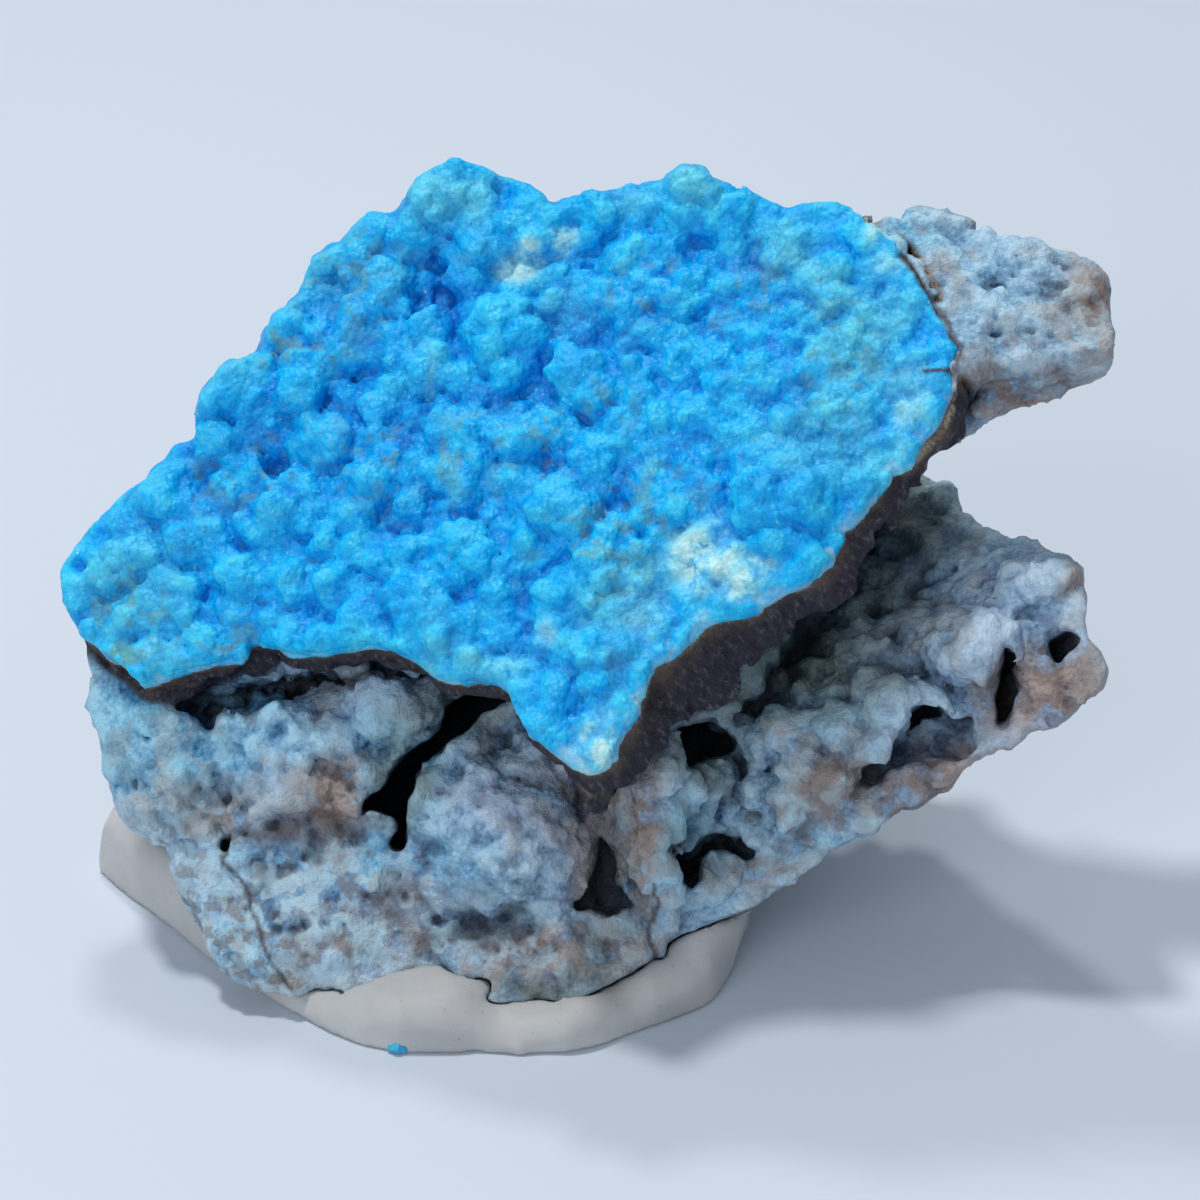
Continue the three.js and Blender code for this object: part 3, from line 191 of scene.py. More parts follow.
HOLLOWS = [
    (300, 680, 13.6, 5, 1, 3.6, 0.5), (400, 676, 12.4, 4.2, 1.1, 3.4, 0.5), (443, 300, 16.6, 1.3, 1.5, 2.4, 0.6),
    (535, 392, 11.4, 2, 0.8, 1.8, 0.5), (598, 325, 12, 1, 1.3, 1.8, 0.5), (735, 266, 10.4, 2.4, 0.6, 1.6, 0.5),
    (276, 466, 14, 0.9, 0.9, 2, 0.4), (134, 782, 15, 0.6, 1, 2.6, 0.3), (226, 838, 13.6, 0.6, 1.1, 2.4, 0.3),
    (830, 750, 11.4, 0.9, 0.8, 3, 0.3), (862, 708, 10.4, 1.1, 0.5, 2, 0.3), (478, 990, 9.4, 0.9, 0.7, 2, 0.3),
]
PUTTY = [
    (-21.3, -16.7), (-18.4, -19.2), (-16.2, -20.8), (-13.9, -21.6), (-11.4, -21.3), (-8.6, -21), (-5.5, -21.9), (-2.4, -21.6), (-0.4, -20.8), (3.8, -18.6), (7.4, -15.4), (9.4, -11.9),
    (10.4, -7), (9.4, -1), (7, 4.2), (3.2, 8.4), (-2, 10.6), (-8.5, 11.2), (-15.5, 10.8), (-22, 9.6), (-28, 8.8), (-33.5, 7.6), (-37, 5), (-37.6, 1.6),
    (-35, -2), (-31.6, -6), (-28.6, -10), (-25, -13.6),
]
PUTTY_HEIGHTS = [
    (-21, -16, 2.6), (-12, -19, 4), (-5, -20.5, 2), (0, -19, 2.8), (4, -16, 4), (9, -12, 5.4),
    (9, -4, 6), (-10, -8, 5.5), (-30, -4, 5), (-36, 3, 5.4), (-28, 6, 6), (-10, 9, 6.2),
    (4, 5, 6),
]

def uvd(p):
    k = (DIST + p[2]) / SCALE
    return np.array([(p[0] - 600) * k, (600 - p[1]) * k, p[2]])


def world(q):
    u, v, d = q
    return np.array([u + CENTRE[0], CENTRE[1] + SE * v + CE * d, CENTRE[2] + CE * v - SE * d])


def view(x, y, z):
    dy, dz = y - CENTRE[1], z - CENTRE[2]
    return x - CENTRE[0], SE * dy + CE * dz, CE * dy - SE * dz


def smin(a, b, k):
    h = np.maximum(k - np.abs(a - b), 0) / k
    return np.minimum(a, b) - h * h * (k * 0.25)


def smax(a, b, k):
    return -smin(-a, -b, k)


def polygon_distance(poly, x, y):
    best = np.full(np.broadcast(x, y).shape, 1e9, np.float32)
    inside = np.zeros(best.shape, bool)
    j = len(poly) - 1
    for i in range(len(poly)):
        ax, ay = poly[j]
        bx, by = poly[i]
        ex, ey = bx - ax, by - ay
        wx, wy = x - ax, y - ay
        t = np.clip((wx * ex + wy * ey) / (ex * ex + ey * ey), 0, 1)
        np.minimum(best, (wx - ex * t) ** 2 + (wy - ey * t) ** 2, out=best)
        if by != ay:
            inside ^= ((ay > y) != (by > y)) & (x < ex * (y - ay) / (by - ay) + ax)
        j = i
    return np.where(inside, -1, 1).astype(np.float32) * np.sqrt(best)


class Chart:
    """A polygon's signed distance, in outline units, looked up bilinearly."""

    def __init__(self, poly, step=2.0, pad=130):
        p = np.array(poly)
        self.lo = p.min(0) - pad
        n = np.ceil((p.max(0) + pad - self.lo) / step).astype(int) + 1
        self.step = step
        gx = (self.lo[0] + step * np.arange(n[0])).astype(np.float32)
        gy = (self.lo[1] + step * np.arange(n[1])).astype(np.float32)
        self.t = polygon_distance(poly, gx[None, :], gy[:, None])

    def __call__(self, px, py):
        a = np.clip((px - self.lo[0]) / self.step, 0, self.t.shape[1] - 1.001)
        b = np.clip((py - self.lo[1]) / self.step, 0, self.t.shape[0] - 1.001)
        a, b = np.broadcast_arrays(a, b)
        i, j = a.astype(np.int32), b.astype(np.int32)
        fa, fb = (a - i).astype(np.float32), (b - j).astype(np.float32)
        t = self.t
        return (t[j, i] * (1 - fa) + t[j, i + 1] * fa) * (1 - fb) + (
            t[j + 1, i] * (1 - fa) + t[j + 1, i + 1] * fa
        ) * fb


def chart_of(lo, step, table):
    c = Chart.__new__(Chart)
    c.lo, c.step, c.t = np.array(lo, float), step, table.astype(np.float32)
    return c


def swell_chart():
    """How high the crust stands around each place of the plate, in mm."""
    gx, gy = np.arange(0, 1200, 8.0)[None, :], np.arange(100, 900, 8.0)[:, None]
    w, t = 1e-6, 0
    for x, y, r, rise in CRUST:
        q = np.exp(-((gx - x) ** 2 + (gy - y) ** 2) / (2 * 38.0**2))
        w, t = w + q, t + q * rise
    return chart_of((0, 100), 8.0, t / w)


SWELL = swell_chart()
RIM = Chart(PLATE_RIM)
OUTLINE = Chart(SILHOUETTE)
PN = math.sqrt(PLATE_A**2 + PLATE_B**2 + 1)


def plate_coordinates(u, v, d):
    """Height over the plate's plane, and distance outside its rim, in mm."""
    h = (PLATE_A * u + PLATE_B * (v - PLATE_V0) - d) / PN
    qd = d + h / PN
    k = SCALE / (DIST + qd)
    qx, qy = 600 + (u - PLATE_A / PN * h) * k, 600 - (v - PLATE_B / PN * h) * k
    return h, RIM(qx, qy) / k, qx, qy


def plate_thickness(qx, qy):
    return (
        PLATE_THICK
        + 2.0 * np.exp(-((qx - 690) ** 2 + (qy - 670) ** 2) / 9000.0)
        - 1.2 * np.exp(-((qx - 320) ** 2 / 12000.0 + (qy - 650) ** 2 / 6000.0))
        - 0.8 * np.exp(-((qx - 950) ** 2 / 9000.0 + (qy - 400) ** 2 / 20000.0))
    )


def ramp(x, a, b):
    t = np.clip((x - a) / (b - a), 0, 1)
    return t * t * (3 - 2 * t)


def reach(qx, qy):
    """How far the crust may stand past the plate's rim, in mm: freely at its left and back, hardly where it is broken."""
    return 0.2 + 3.2 * ramp(590 - (qx - 60) * 0.4756 - qy, -25, 15)


def flare(qx, qy):
    """How much further out the plate's underside reaches than its top, in mm."""
    return (
        2.3 * np.exp(-((qx - 690) ** 2 + (qy - 665) ** 2) / 9000.0)
        + 1.3 * np.exp(-((qx - 850) ** 2 + (qy - 520) ** 2) / 9000.0)
        + 0.5
    )


def plane_through(places, inside):
    a, b, c = [uvd(p) for p in places]
    n = np.cross(b - a, c - a)
    n /= np.linalg.norm(n)
    off = -n @ a
    return (-n, -off) if n @ uvd(inside) + off > 0 else (n, off)


def heave(x, y, z):
    s = np.sin
    m = 0.55 + 1.1 * np.clip((y - 1) / 8, 0, 1)
    return m * (
        0.8 * s(0.31 * x + 1.1 * s(0.24 * z + 0.5) + 0.7) * s(0.29 * z + 0.9 * s(0.21 * y) + 1.9)
        + 0.45 * s(0.62 * x + 0.8 + 1.2 * s(0.4 * z)) * s(0.55 * z + 0.5 * y + 0.4)
    )


def roughness(x, y, z):
    s = np.sin
    return (
        0.28 * s(0.83 * x + 1.3 * s(0.51 * y + 0.4)) * s(0.77 * z + 1.1 * s(0.63 * x))
        + 0.16 * s(1.71 * y + 1.6 * s(1.13 * z)) * s(1.57 * x + 0.9)
        + 0.10 * s(2.9 * z + 1.2 * s(2.3 * x + 1.0)) * s(2.7 * y + 0.3)
    )


class Field:
    """A box of cells with axes that broadcast against each other."""

    def __init__(self, lo, hi, cell):
        self.lo, self.cell = np.array(lo, float), cell
        self.n = [int(math.ceil((hi[i] - lo[i]) / cell)) + 1 for i in range(3)]
        ax = [(self.lo[i] + cell * np.arange(self.n[i])).astype(np.float32) for i in range(3)]
        self.x, self.y, self.z = ax[0][:, None, None], ax[1][None, :, None], ax[2][None, None, :]
        self.u, self.v, self.d = view(self.x, self.y, self.z)

    def near(self, c, r):
        """Slices of the cells within r of the world point c, or None."""
        r = np.broadcast_to(r, 3)
        out = []
        for i in range(3):
            a = max(0, int(math.floor((c[i] - r[i] - self.lo[i]) / self.cell)))
            b = min(self.n[i], int(math.ceil((c[i] + r[i] - self.lo[i]) / self.cell)) + 1)
            if b <= a:
                return None
            out.append(slice(a, b))
        return tuple(out)

    def local(self, s):
        u = self.u[s[0]]
        v, d = self.v[:, s[1], s[2]], self.d[:, s[1], s[2]]
        return u, v, d


def ellipsoid(c, e, u, v, d):
    x, y, z = u - c[0], v - c[1], d - c[2]
    a, b, g = e
    k0 = np.sqrt((x / a) ** 2 + (y / b) ** 2 + (z / g) ** 2)
    k1 = np.sqrt((x / a**2) ** 2 + (y / b**2) ** 2 + (z / g**2) ** 2)
    return k0 * (k0 - 1) / np.maximum(k1, 1e-6)


def crust_centres():
    out = []
    for x, y, r, rise in CRUST:
        U, V = (x - 600) / SCALE, (600 - y) / SCALE
        dd = ((PLATE_A * U + PLATE_B * V) * DIST - PLATE_B * PLATE_V0) / (1 - PLATE_A * U - PLATE_B * V)
        c = uvd((x, y, dd)) + np.array([PLATE_A, PLATE_B, -1.0]) / PN * (rise - r)
        out.append((c, r))
    return out


def convex(part, u, v, d, x, y, z, k):
    s = None
    for f in part["faces"]:
        n, o = plane_through(f, part["inside"])
        q = n[0] * u + n[1] * v + n[2] * d + o
        s = q if s is None else smax(s, q, k)
    for a, b, c, o in part["halfspaces"]:
        s = smax(s, (a * x + b * y + c * z - o) / math.sqrt(a * a + b * b + c * c), k)
    return s


def large_shapes(F):
    """The stone's large shapes, without its openings."""
    u, v, d, x, y, z = F.u, F.v, F.d, F.x, F.y, F.z
    h, rim, qx, qy = plate_coordinates(u, v, d)
    t = plate_thickness(qx, qy) / 2
    lower = rim - flare(qx, qy) * np.clip(-h / (2 * t), 0, 1)
    plate = smax(lower, np.abs(h + t) - t, 0.4)
    L = heave(x, y, z)
    block = smax(convex(BLOCK, u, v, d, x, y, z, 0.9) + L, h + 1.5, 0.8)
    shelf = convex(SHELF, u, v, d, x, y, z, 0.8) + 0.6 * L
    arm = smax(convex(ARM, u, v, d, x, y, z, 0.6) + 0.4 * L, h - 0.6, 0.8)
    s = smin(block, plate, 1.0)
    s = smin(s, shelf, 1.4)
    s = smin(s, arm, 1.0).astype(np.float32)
    c = np.full(s.shape, 9.0, np.float32)
    for p, r in crust_centres():
        w = F.near(world(p), r + 2.5)
        if w:
            a, b, g = F.local(w)
            q = np.sqrt((a - p[0]) ** 2 + (b - p[1]) ** 2 + (g - p[2]) ** 2) - r
            c[w] = smin(c[w], q, 0.8)
    c = smin(c, h - 0.34 * SWELL(qx, qy), 0.8)
    c = c + 0.22 * lattice_noise(F, 2.8, 51) + 0.10 * lattice_noise(F, 1.5, 52)
    allow = reach(qx, qy)
    c = smax(c, rim - allow, 0.4)
    c = smax(c, h - 0.5 - 0.8 * np.maximum(-rim, 0) - 3 * (allow - 0.2), 1.2)
    s = smin(s, smax(c, -(h + 2.6), 0.6), 0.6)
    for e in LUMPS:
        p = uvd(e)
        w = F.near(world(p), max(e[3:6]) + e[6] + 1.5)
        if w:
            s[w] = smin(s[w], ellipsoid(p, e[3:6], *F.local(w)), e[6])
    for e in RIDGES:
        A, B = uvd(e[0:3]), uvd(e[3:6])
        m, half = (A + B) / 2, np.linalg.norm(B - A) / 2
        w = F.near(world(m), half + 4)
        if w:
            a, b, g = F.local(w)
            ab = B - A
            t = np.clip(((a - A[0]) * ab[0] + (b - A[1]) * ab[1] + (g - A[2]) * ab[2]) / (ab @ ab), 0, 1)
            q = np.sqrt((a - A[0] - ab[0] * t) ** 2 + (b - A[1] - ab[1] * t) ** 2 + (g - A[2] - ab[2] * t) ** 2)
            s[w] = smin(s[w], q - (e[6] + (e[7] - e[6]) * t), e[8])
    return s.astype(np.float32), h.astype(np.float32), rim.astype(np.float32), np.asarray(arm, np.float32), np.asarray(shelf, np.float32), np.asarray(block, np.float32)


def cut_openings(F, s, h, ragged=None, inner=0.0, less=0.0):
    for to, poly in CLEFTS:
        pp = np.array(poly, float)
        corners = np.array([world(uvd((x, y, q))) for q in (2.0, to + 1) for x, y in pp])
        lo, hi = corners.min(0), corners.max(0)
        w = F.near((lo + hi) / 2, (hi - lo) / 2 + 1.0)
        if not w:
            continue
        u, v, d = F.local(w)
        k = SCALE / (DIST + d)
        chart = Chart(poly, 1.0, 40)
        q = smax(chart(600 + u * k, 600 - v * k) / k + inner * (to != CLEFTS[0][0]), d - to + less * (15 <= to <= 18), 1.2)
        q = np.maximum(q, h[w] + 2.2)
        if ragged is not None:
            q = q + ragged[w]
        s[w] = smax(s[w], -q, 0.3)
    for e in HOLLOWS:
        p = uvd(e)
        size = np.array(e[3:6])
        on_top = e[1] < 450 and e[0] > 300
        if inner and (e[0] > 590 if on_top else e[1] > 500):
            continue
        w = F.near(world(p), max(e[3:6]) + e[6] + 1.0)
        if w:
            q = ellipsoid(p, size * (1 - inner * 0.8 * on_top), *F.local(w))
            if ragged is not None:
                q = q + ragged[w] * 1.5
            if on_top:
                q = np.maximum(q, 0.3 - h[w])
            s[w] = smax(s[w], -q, e[6])
    return s


def trim_outline(F, s, loose=0.0):
    """Keeps the solid within the outline and above its lowest level."""
    k = SCALE / (DIST + F.d)
    for i in range(0, F.n[0], 32):
        w = slice(i, i + 32)
        px = 600 + F.u[w] * k
        near = s[w] < 1.5
        q = OUTLINE(px, 600 - F.v * k) / k - (loose[w] if np.ndim(loose) else loose)
        s[w] = np.where(near, smax(s[w], q, 0.5), s[w])
    return smax(s, BASE_Z - F.z, 0.6).astype(np.float32)


def interpolation(n_from, n_to, scale, offset=0.0, smooth=True):
    """A matrix that resamples an axis."""
    t = np.clip(np.arange(n_to) * scale + offset, 0, n_from - 1.001)
    i = t.astype(int)
    f = t - i
    if smooth:
        f = f * f * (3 - 2 * f)
    m = np.zeros((n_to, n_from), np.float32)
    m[np.arange(n_to), i] = 1 - f
    m[np.arange(n_to), i + 1] += f
    return m


def resample(a, mats):
    a = np.tensordot(mats[0], a, (1, 0))
    a = np.tensordot(a, mats[1], (1, 1)).transpose(0, 2, 1)
    return np.tensordot(a, mats[2], (2, 1)).astype(np.float32)


def lattice_noise(F, size, seed):
    """Smooth noise from -1 to 1 with features of about size mm, over F's cells."""
    n = [int(F.n[i] * F.cell / size) + 3 for i in range(3)]
    a = np.random.default_rng(seed).uniform(-1, 1, n).astype(np.float32)
    return resample(a, [interpolation(n[i], F.n[i], F.cell / size, 0.37) for i in range(3)])


def refine(C, s, F):
    """A coarse field's values at F's cells, linearly."""
    return resample(
        s,
        [interpolation(C.n[i], F.n[i], F.cell / C.cell, (F.lo[i] - C.lo[i]) / C.cell, False) for i in range(3)],
    )


def sample(F, a, p):
    """The field a at the points p."""
    q = (p - F.lo) / F.cell
    q = np.clip(q, 0, np.array(F.n) - 1.001)
    i = q.astype(np.int32)
    f = (q - i).astype(np.float32)
    out = 0
    for dx in (0, 1):
        for dy in (0, 1):
            for dz in (0, 1):
                w = (f[:, 0] if dx else 1 - f[:, 0]) * (f[:, 1] if dy else 1 - f[:, 1]) * (f[:, 2] if dz else 1 - f[:, 2])
                out = out + w * a[i[:, 0] + dx, i[:, 1] + dy, i[:, 2] + dz]
    return out


def gradient_at(F, a, p):
    e = F.cell
    g = np.stack([sample(F, a, p + np.eye(3)[i] * e) - sample(F, a, p - np.eye(3)[i] * e) for i in range(3)], 1)
    return g / np.maximum(np.linalg.norm(g, axis=1, keepdims=True), 1e-6)


def blur(a, r):
    for ax in range(3):
        for _ in range(2):
            c = np.cumsum(np.concatenate([np.repeat(np.take(a, [0], ax), r + 1, ax), a, np.repeat(np.take(a, [-1], ax), r, ax)], ax), ax, dtype=np.float64)
            n = a.shape[ax]
            a = ((np.take(c, range(2 * r + 1, 2 * r + 1 + n), ax) - np.take(c, range(0, n), ax)) / (2 * r + 1)).astype(np.float32)
    return a


def polygons_of(s, lo, cell):
    g = vdb.FloatGrid(background=2.0)
    g.copyFromArray(np.ascontiguousarray(np.clip(s, -2, 2), dtype=np.float32))
    out = g.convertToPolygons(isovalue=0.0)
    pts, tris, quads = out if len(out) == 3 else (out[0], np.zeros((0, 3), int), out[1])
    return np.asarray(pts, np.float64) * cell + lo, np.asarray(tris, np.int64).reshape(-1, 3), np.asarray(quads, np.int64).reshape(-1, 4)


def on_view(p):
    u, v, d = view(p[:, 0], p[:, 1], p[:, 2])
    k = SCALE / (DIST + d)
    h, rim, qx, qy = plate_coordinates(u, v, d)
    return 600 + u * k, 600 - v * k, d, h, rim


def blobs(px, py, rows):
    """The highest of some soft round patches (x, y, half width, half height, weight)."""
    out = np.zeros(len(px))
    for x, y, a, b, w in rows:
        out = np.maximum(out, w * np.exp(-0.5 * (((px - x) / a) ** 2 + ((py - y) / b) ** 2) ** 1.5))
    return out


def crust_margin(px, py):
    """How far past the plate's rim the blue crust reaches, in mm."""
    by_arm = np.maximum(ramp(px, 850, 885) * ramp(-py, -470, -440), ramp(px, 850, 875) * ramp(-py, -300, -270))
    return (reach(px, py) + 0.4) * (1 - by_arm) + 0.1 * by_arm


# ---------------------------------------------------------------- the stone
LO, HI = (-42.0, -25.0, -1.0), (39.5, 24.5, 56.5)
C = Field(LO, HI, CELL * 2)
coarse, h_c, rim_c, arm_c, shelf_c, block_c = large_shapes(C)
coarse = coarse + roughness(C.x, C.y, C.z).astype(np.float32)
F = Field(LO, [LO[i] + (C.n[i] - 1) * C.cell - 1e-6 for i in range(3)], CELL)
stone = refine(C, coarse, F)
h_f, rim_f = refine(C, h_c, F), refine(C, rim_c, F)
stone = cut_openings(F, stone, h_f)
print("large shapes", round(time.time() - T0, 1))

# Rock texture: broken, with fine ridges, on what isn't crust.
n1, n2, n3 = lattice_noise(F, 4.2, 1), lattice_noise(F, 2.1, 2), lattice_noise(F, 1.05, 3)
broken = 0.55 * n1 + 0.42 * (1 - 2 * np.abs(n2)) * 0.8 + 0.28 * n3
n4 = lattice_noise(F, 0.62, 4)
broken += 0.20 * n4
del n1
crust_side = np.clip((h_f + 0.9) / 0.8, 0, 1) * np.clip((2.0 - rim_f) / 1.0, 0, 1)
stone += broken * (1 - 0.82 * crust_side) * 0.66
del n2, n3, n4, broken
stone = trim_outline(F, stone)
print("rock", round(time.time() - T0, 1))

# Places on the surface, for grown grains.
pts, _, _ = polygons_of(stone[::2, ::2, ::2], F.lo, F.cell * 2)
pts = np.repeat(pts, 5, 0)
pts = pts + rng.uniform(-0.32, 0.32, pts.shape)
nor = gradient_at(F, stone, pts)
pts = pts - nor * sample(F, stone, pts)[:, None]
nor = gradient_at(F, stone, pts)
order = rng.permutation(len(pts))
pts, nor = pts[order], nor[order]
px, py, pd, ph, prim = on_view(pts)
toward = nor[:, 1] * -CE + nor[:, 2] * SE
on_crust = (ph > -0.35) & (prim < crust_margin(px, py)) & (nor @ np.array([-0.283, -0.619, 0.732]) > -0.35)
in_front = toward > -0.05

GROWN = [  # botryoidal parts of the matrix: x, y, half width, half height, weight
    (510, 815, 90, 85, 0.30), (450, 850, 60, 60, 0.30), (175, 750, 85, 60, 1.0), (290, 740, 80, 55, 1.0),
    (380, 735, 55, 60, 1.0), (1010, 600, 95, 55, 0.30), (920, 650, 90, 50, 0.30), (800, 620, 90, 60, 0.6),
    (850, 715, 55, 25, 1.0), (720, 790, 60, 40, 0.9), (690, 850, 40, 40, 0.8), (1000, 270, 90, 60, 0.30),
    (730, 700, 30, 25, 0.9), (370, 860, 40, 25, 0.8), (800, 745, 60, 30, 0.8),
]
_, _, ax, ay = plate_coordinates(*view(pts[:, 0], pts[:, 1], pts[:, 2]))
pdepth = -ph / plate_thickness(ax, ay)
pout = prim - flare(ax, ay) * np.clip(pdepth, 0, 1)
on_rind = (pdepth > -0.15) & (pdepth < 1.15) & (np.abs(pout) < 1.2) & ~((ay < 455) & (ax > 965))
on_crust &= ~((pdepth > 0.05) & on_rind)
grown = np.where(on_crust | on_rind, 0, blobs(px, py, GROWN) * in_front)
print("places", len(pts), round(time.time() - T0, 1))


def one_per_cell(mask, size):
    """Indices of one masked place per cube of that size."""
    i = np.nonzero(mask)[0]
    q = np.floor(pts[i] / size).astype(np.int64) + 4096
    key = (q[:, 0] * 8192 + q[:, 1]) * 8192 + q[:, 2]
    return i[np.unique(key, return_index=True)[1]]


def grow(field, i, r, rise, k):
    """Adds spheres of radius r at the places i, risen over the surface by rise, blended over k."""
    c = pts[i] + nor[i] * (rise - r)[:, None]
    for p, q in zip(c, r):
        w = F.near(p, q + k + F.cell)
        if not w:
            continue
        dx, dy, dz = F.x[w[0]] - p[0], F.y[:, w[1]] - p[1], F.z[:, :, w[2]] - p[2]
        s = np.sqrt(dx * dx + dy * dy + dz * dz) - q
        field[w] = smin(field[w], s, k) if k else np.minimum(field[w], s)


def bite(field, i, r, sink, k=0.12):
    """Takes spheres of radius r out, with centres sunk under the surface by sink."""
    c = pts[i] - nor[i] * sink[:, None]
    for p, q in zip(c, r):
        w = F.near(p, q + k + F.cell)
        if not w:
            continue
        dx, dy, dz = F.x[w[0]] - p[0], F.y[:, w[1]] - p[1], F.z[:, :, w[2]] - p[2]
        field[w] = smax(field[w], q - np.sqrt(dx * dx + dy * dy + dz * dz), k) * 1.0


def between(i, a, b):
    return rng.uniform(a, b, len(i))


# Pits in the rock first, then grains over everything.
PITTED = [
    (1000, 270, 95, 55, 1.0), (300, 940, 150, 70, 0.7), (560, 950, 90, 40, 0.9), (900, 770, 130, 40, 1.0),
    (760, 820, 90, 60, 1.0), (1060, 680, 50, 40, 1.0), (200, 850, 60, 70, 0.6), (640, 860, 30, 80, 0.5),
    (240, 800, 90, 30, 0.6), (830, 780, 60, 40, 0.8),
]
pitted = np.where(on_crust, 0, blobs(px, py, PITTED) * in_front) + 0.35 * (~in_front & ~on_crust)
chance = rng.uniform(0, 1, len(pts))
i = one_per_cell((pitted > 0.4) & (chance < 0.5), 3.2)
i = i[rng.uniform(0, 1, len(i)) < 0.35]
bite(stone, i, between(i, 0.3, 0.6), between(i, 0.0, 0.2))
i = one_per_cell((pitted > 0.3) & (chance > 0.5), 1.6)
i = i[rng.uniform(0, 1, len(i)) < 0.45]
bite(stone, i, between(i, 0.2, 0.38), between(i, 0.0, 0.1), 0.08)

def settle():
    """Moves the places onto the surface as it is now."""
    global pts, nor
    for _ in range(2):
        pts = pts - nor * sample(F, stone, pts)[:, None]
        nor = gradient_at(F, stone, pts)
    return np.abs(sample(F, stone, pts)) < 0.25


# crust lobes, large to small
base = stone.copy()
px, py, _, _, _ = on_view(pts)
coarse_crust = ramp(-(px + 0.25 * py), -860, -560)  # coarser at the left and back
i = one_per_cell(on_crust, 2.5)
i = i[rng.uniform(0, 1, len(i)) < 0.45 + 0.5 * coarse_crust[i]]
grow(stone, i, between(i, 1.3, 2.1), between(i, 0.45, 1.05) * (0.5 + 0.65 * coarse_crust[i]), 0.25)
i = one_per_cell(grown > 0.3, 2.2)
grow(stone, i, between(i, 1.0, 1.6), between(i, 0.35, 0.9), 0.2)
good = settle()
i = one_per_cell(on_crust & good, 1.35)
i = i[rng.uniform(0, 1, len(i)) < 0.85]
grow(stone, i, between(i, 0.7, 1.15), between(i, 0.30, 0.62), 0.16)
i = one_per_cell((grown > 0.2) & good, 1.1)
grow(stone, i, between(i, 0.5, 0.85), between(i, 0.25, 0.55), 0.08)
print("lobes", round(time.time() - T0, 1))
good = settle()
i = one_per_cell(on_crust & good, 0.72)
i = i[rng.uniform(0, 1, len(i)) < 0.9]
grow(stone, i, between(i, 0.32, 0.52), between(i, 0.14, 0.30), 0.05)
i = one_per_cell((grown > 0.25) & good, 0.62)
i = i[rng.uniform(0, 1, len(i)) < 0.85]
grow(stone, i, between(i, 0.28, 0.45), between(i, 0.12, 0.26), 0.04)
i = one_per_cell(~on_crust & ~on_rind & (grown <= 0.3) & good & in_front, 0.75)
i = i[rng.uniform(0, 1, len(i)) < 0.75]
grow(stone, i, between(i, 0.24, 0.42), between(i, 0.12, 0.28), 0.03)
# what has grown stops at the plate's broken edge
u_f, v_f, d_f = F.u, F.v, F.d
k_f = SCALE / (DIST + d_f)
by_arm = ramp(600 + u_f * k_f, 880, 910) * ramp(-(600 - v_f * k_f), -480, -450)
cut = ramp(h_f, -1.6, -1.0) * (1 - by_arm)
allow = refine(C, reach(*plate_coordinates(C.u, C.v, C.d)[2:]).astype(np.float32), F)
rag = 0.16 * lattice_noise(F, 0.9, 61)
limit = rim_f - allow - 0.15 + rag - 9 * (1 - cut)
stone = np.minimum(base, np.maximum(stone, limit)).astype(np.float32)
del base, cut, allow, limit, by_arm
rag = rag * 1.3 + 0.14 * lattice_noise(F, 0.5, 62)
stone = cut_openings(F, stone, h_f, rag, 0.38, 2.2)
del rag
stone = trim_outline(F, stone, 0.22 + 0.34 * lattice_noise(F, 1.25, 71) + 0.16 * lattice_noise(F, 0.65, 72))
stone = np.maximum(stone, 0.9 - F.z)
print("grains", round(time.time() - T0, 1))

# How far the surface stands over its surroundings, for the colours and the painted shade in creases and hollows.
soft = blur(stone[::2, ::2, ::2], 2)
SOFT = Field(F.lo, F.lo + (np.array(soft.shape) - 1) * F.cell * 2 - 1e-6, F.cell * 2)
SOFT.n = list(soft.shape)
wide = blur(soft, 3)

# ------------------------------------------------------- the stone's meshes
zone_crust = np.maximum(-(h_f + 0.32), rim_f - crust_margin(600 + F.u * SCALE / (DIST + F.d), 600 - F.v * SCALE / (DIST + F.d)))
thick_f = refine(C, plate_thickness(*plate_coordinates(C.u, C.v, C.d)[2:]).astype(np.float32), F)
arm_f, shelf_f, block_f = refine(C, arm_c, F), refine(C, shelf_c, F), refine(C, block_c, F)
flare_f = refine(C, flare(*plate_coordinates(C.u, C.v, C.d)[2:]).astype(np.float32), F)
lower_f = rim_f - flare_f * np.clip(-h_f / thick_f, 0, 1)
zone_plate = np.maximum(np.maximum(-(h_f + thick_f + 0.25), h_f - 0.2), lower_f - 0.5)
del flare_f, lower_f
zone_arm = np.maximum(arm_f - 1.0, -zone_plate)
zone_shelf = np.maximum(shelf_f - 0.55, 0.3 - block_f)
del arm_f, shelf_f, block_f, thick_f


def component_filter(n, faces, least):
    """Drops small loose bits: returns the faces of components with at least `least` vertices."""
    label = np.arange(n)
    a = faces.min(1)
    while True:
        m = label[faces].min(1)
        new = label.copy()
        for c in range(faces.shape[1]):
            np.minimum.at(new, faces[:, c], m)
        new = new[new]
        new = new[new]
        if np.array_equal(new, label):
            break
        label = new
    count = np.bincount(label, minlength=n)
    return count[label[faces[:, 0]]] >= least


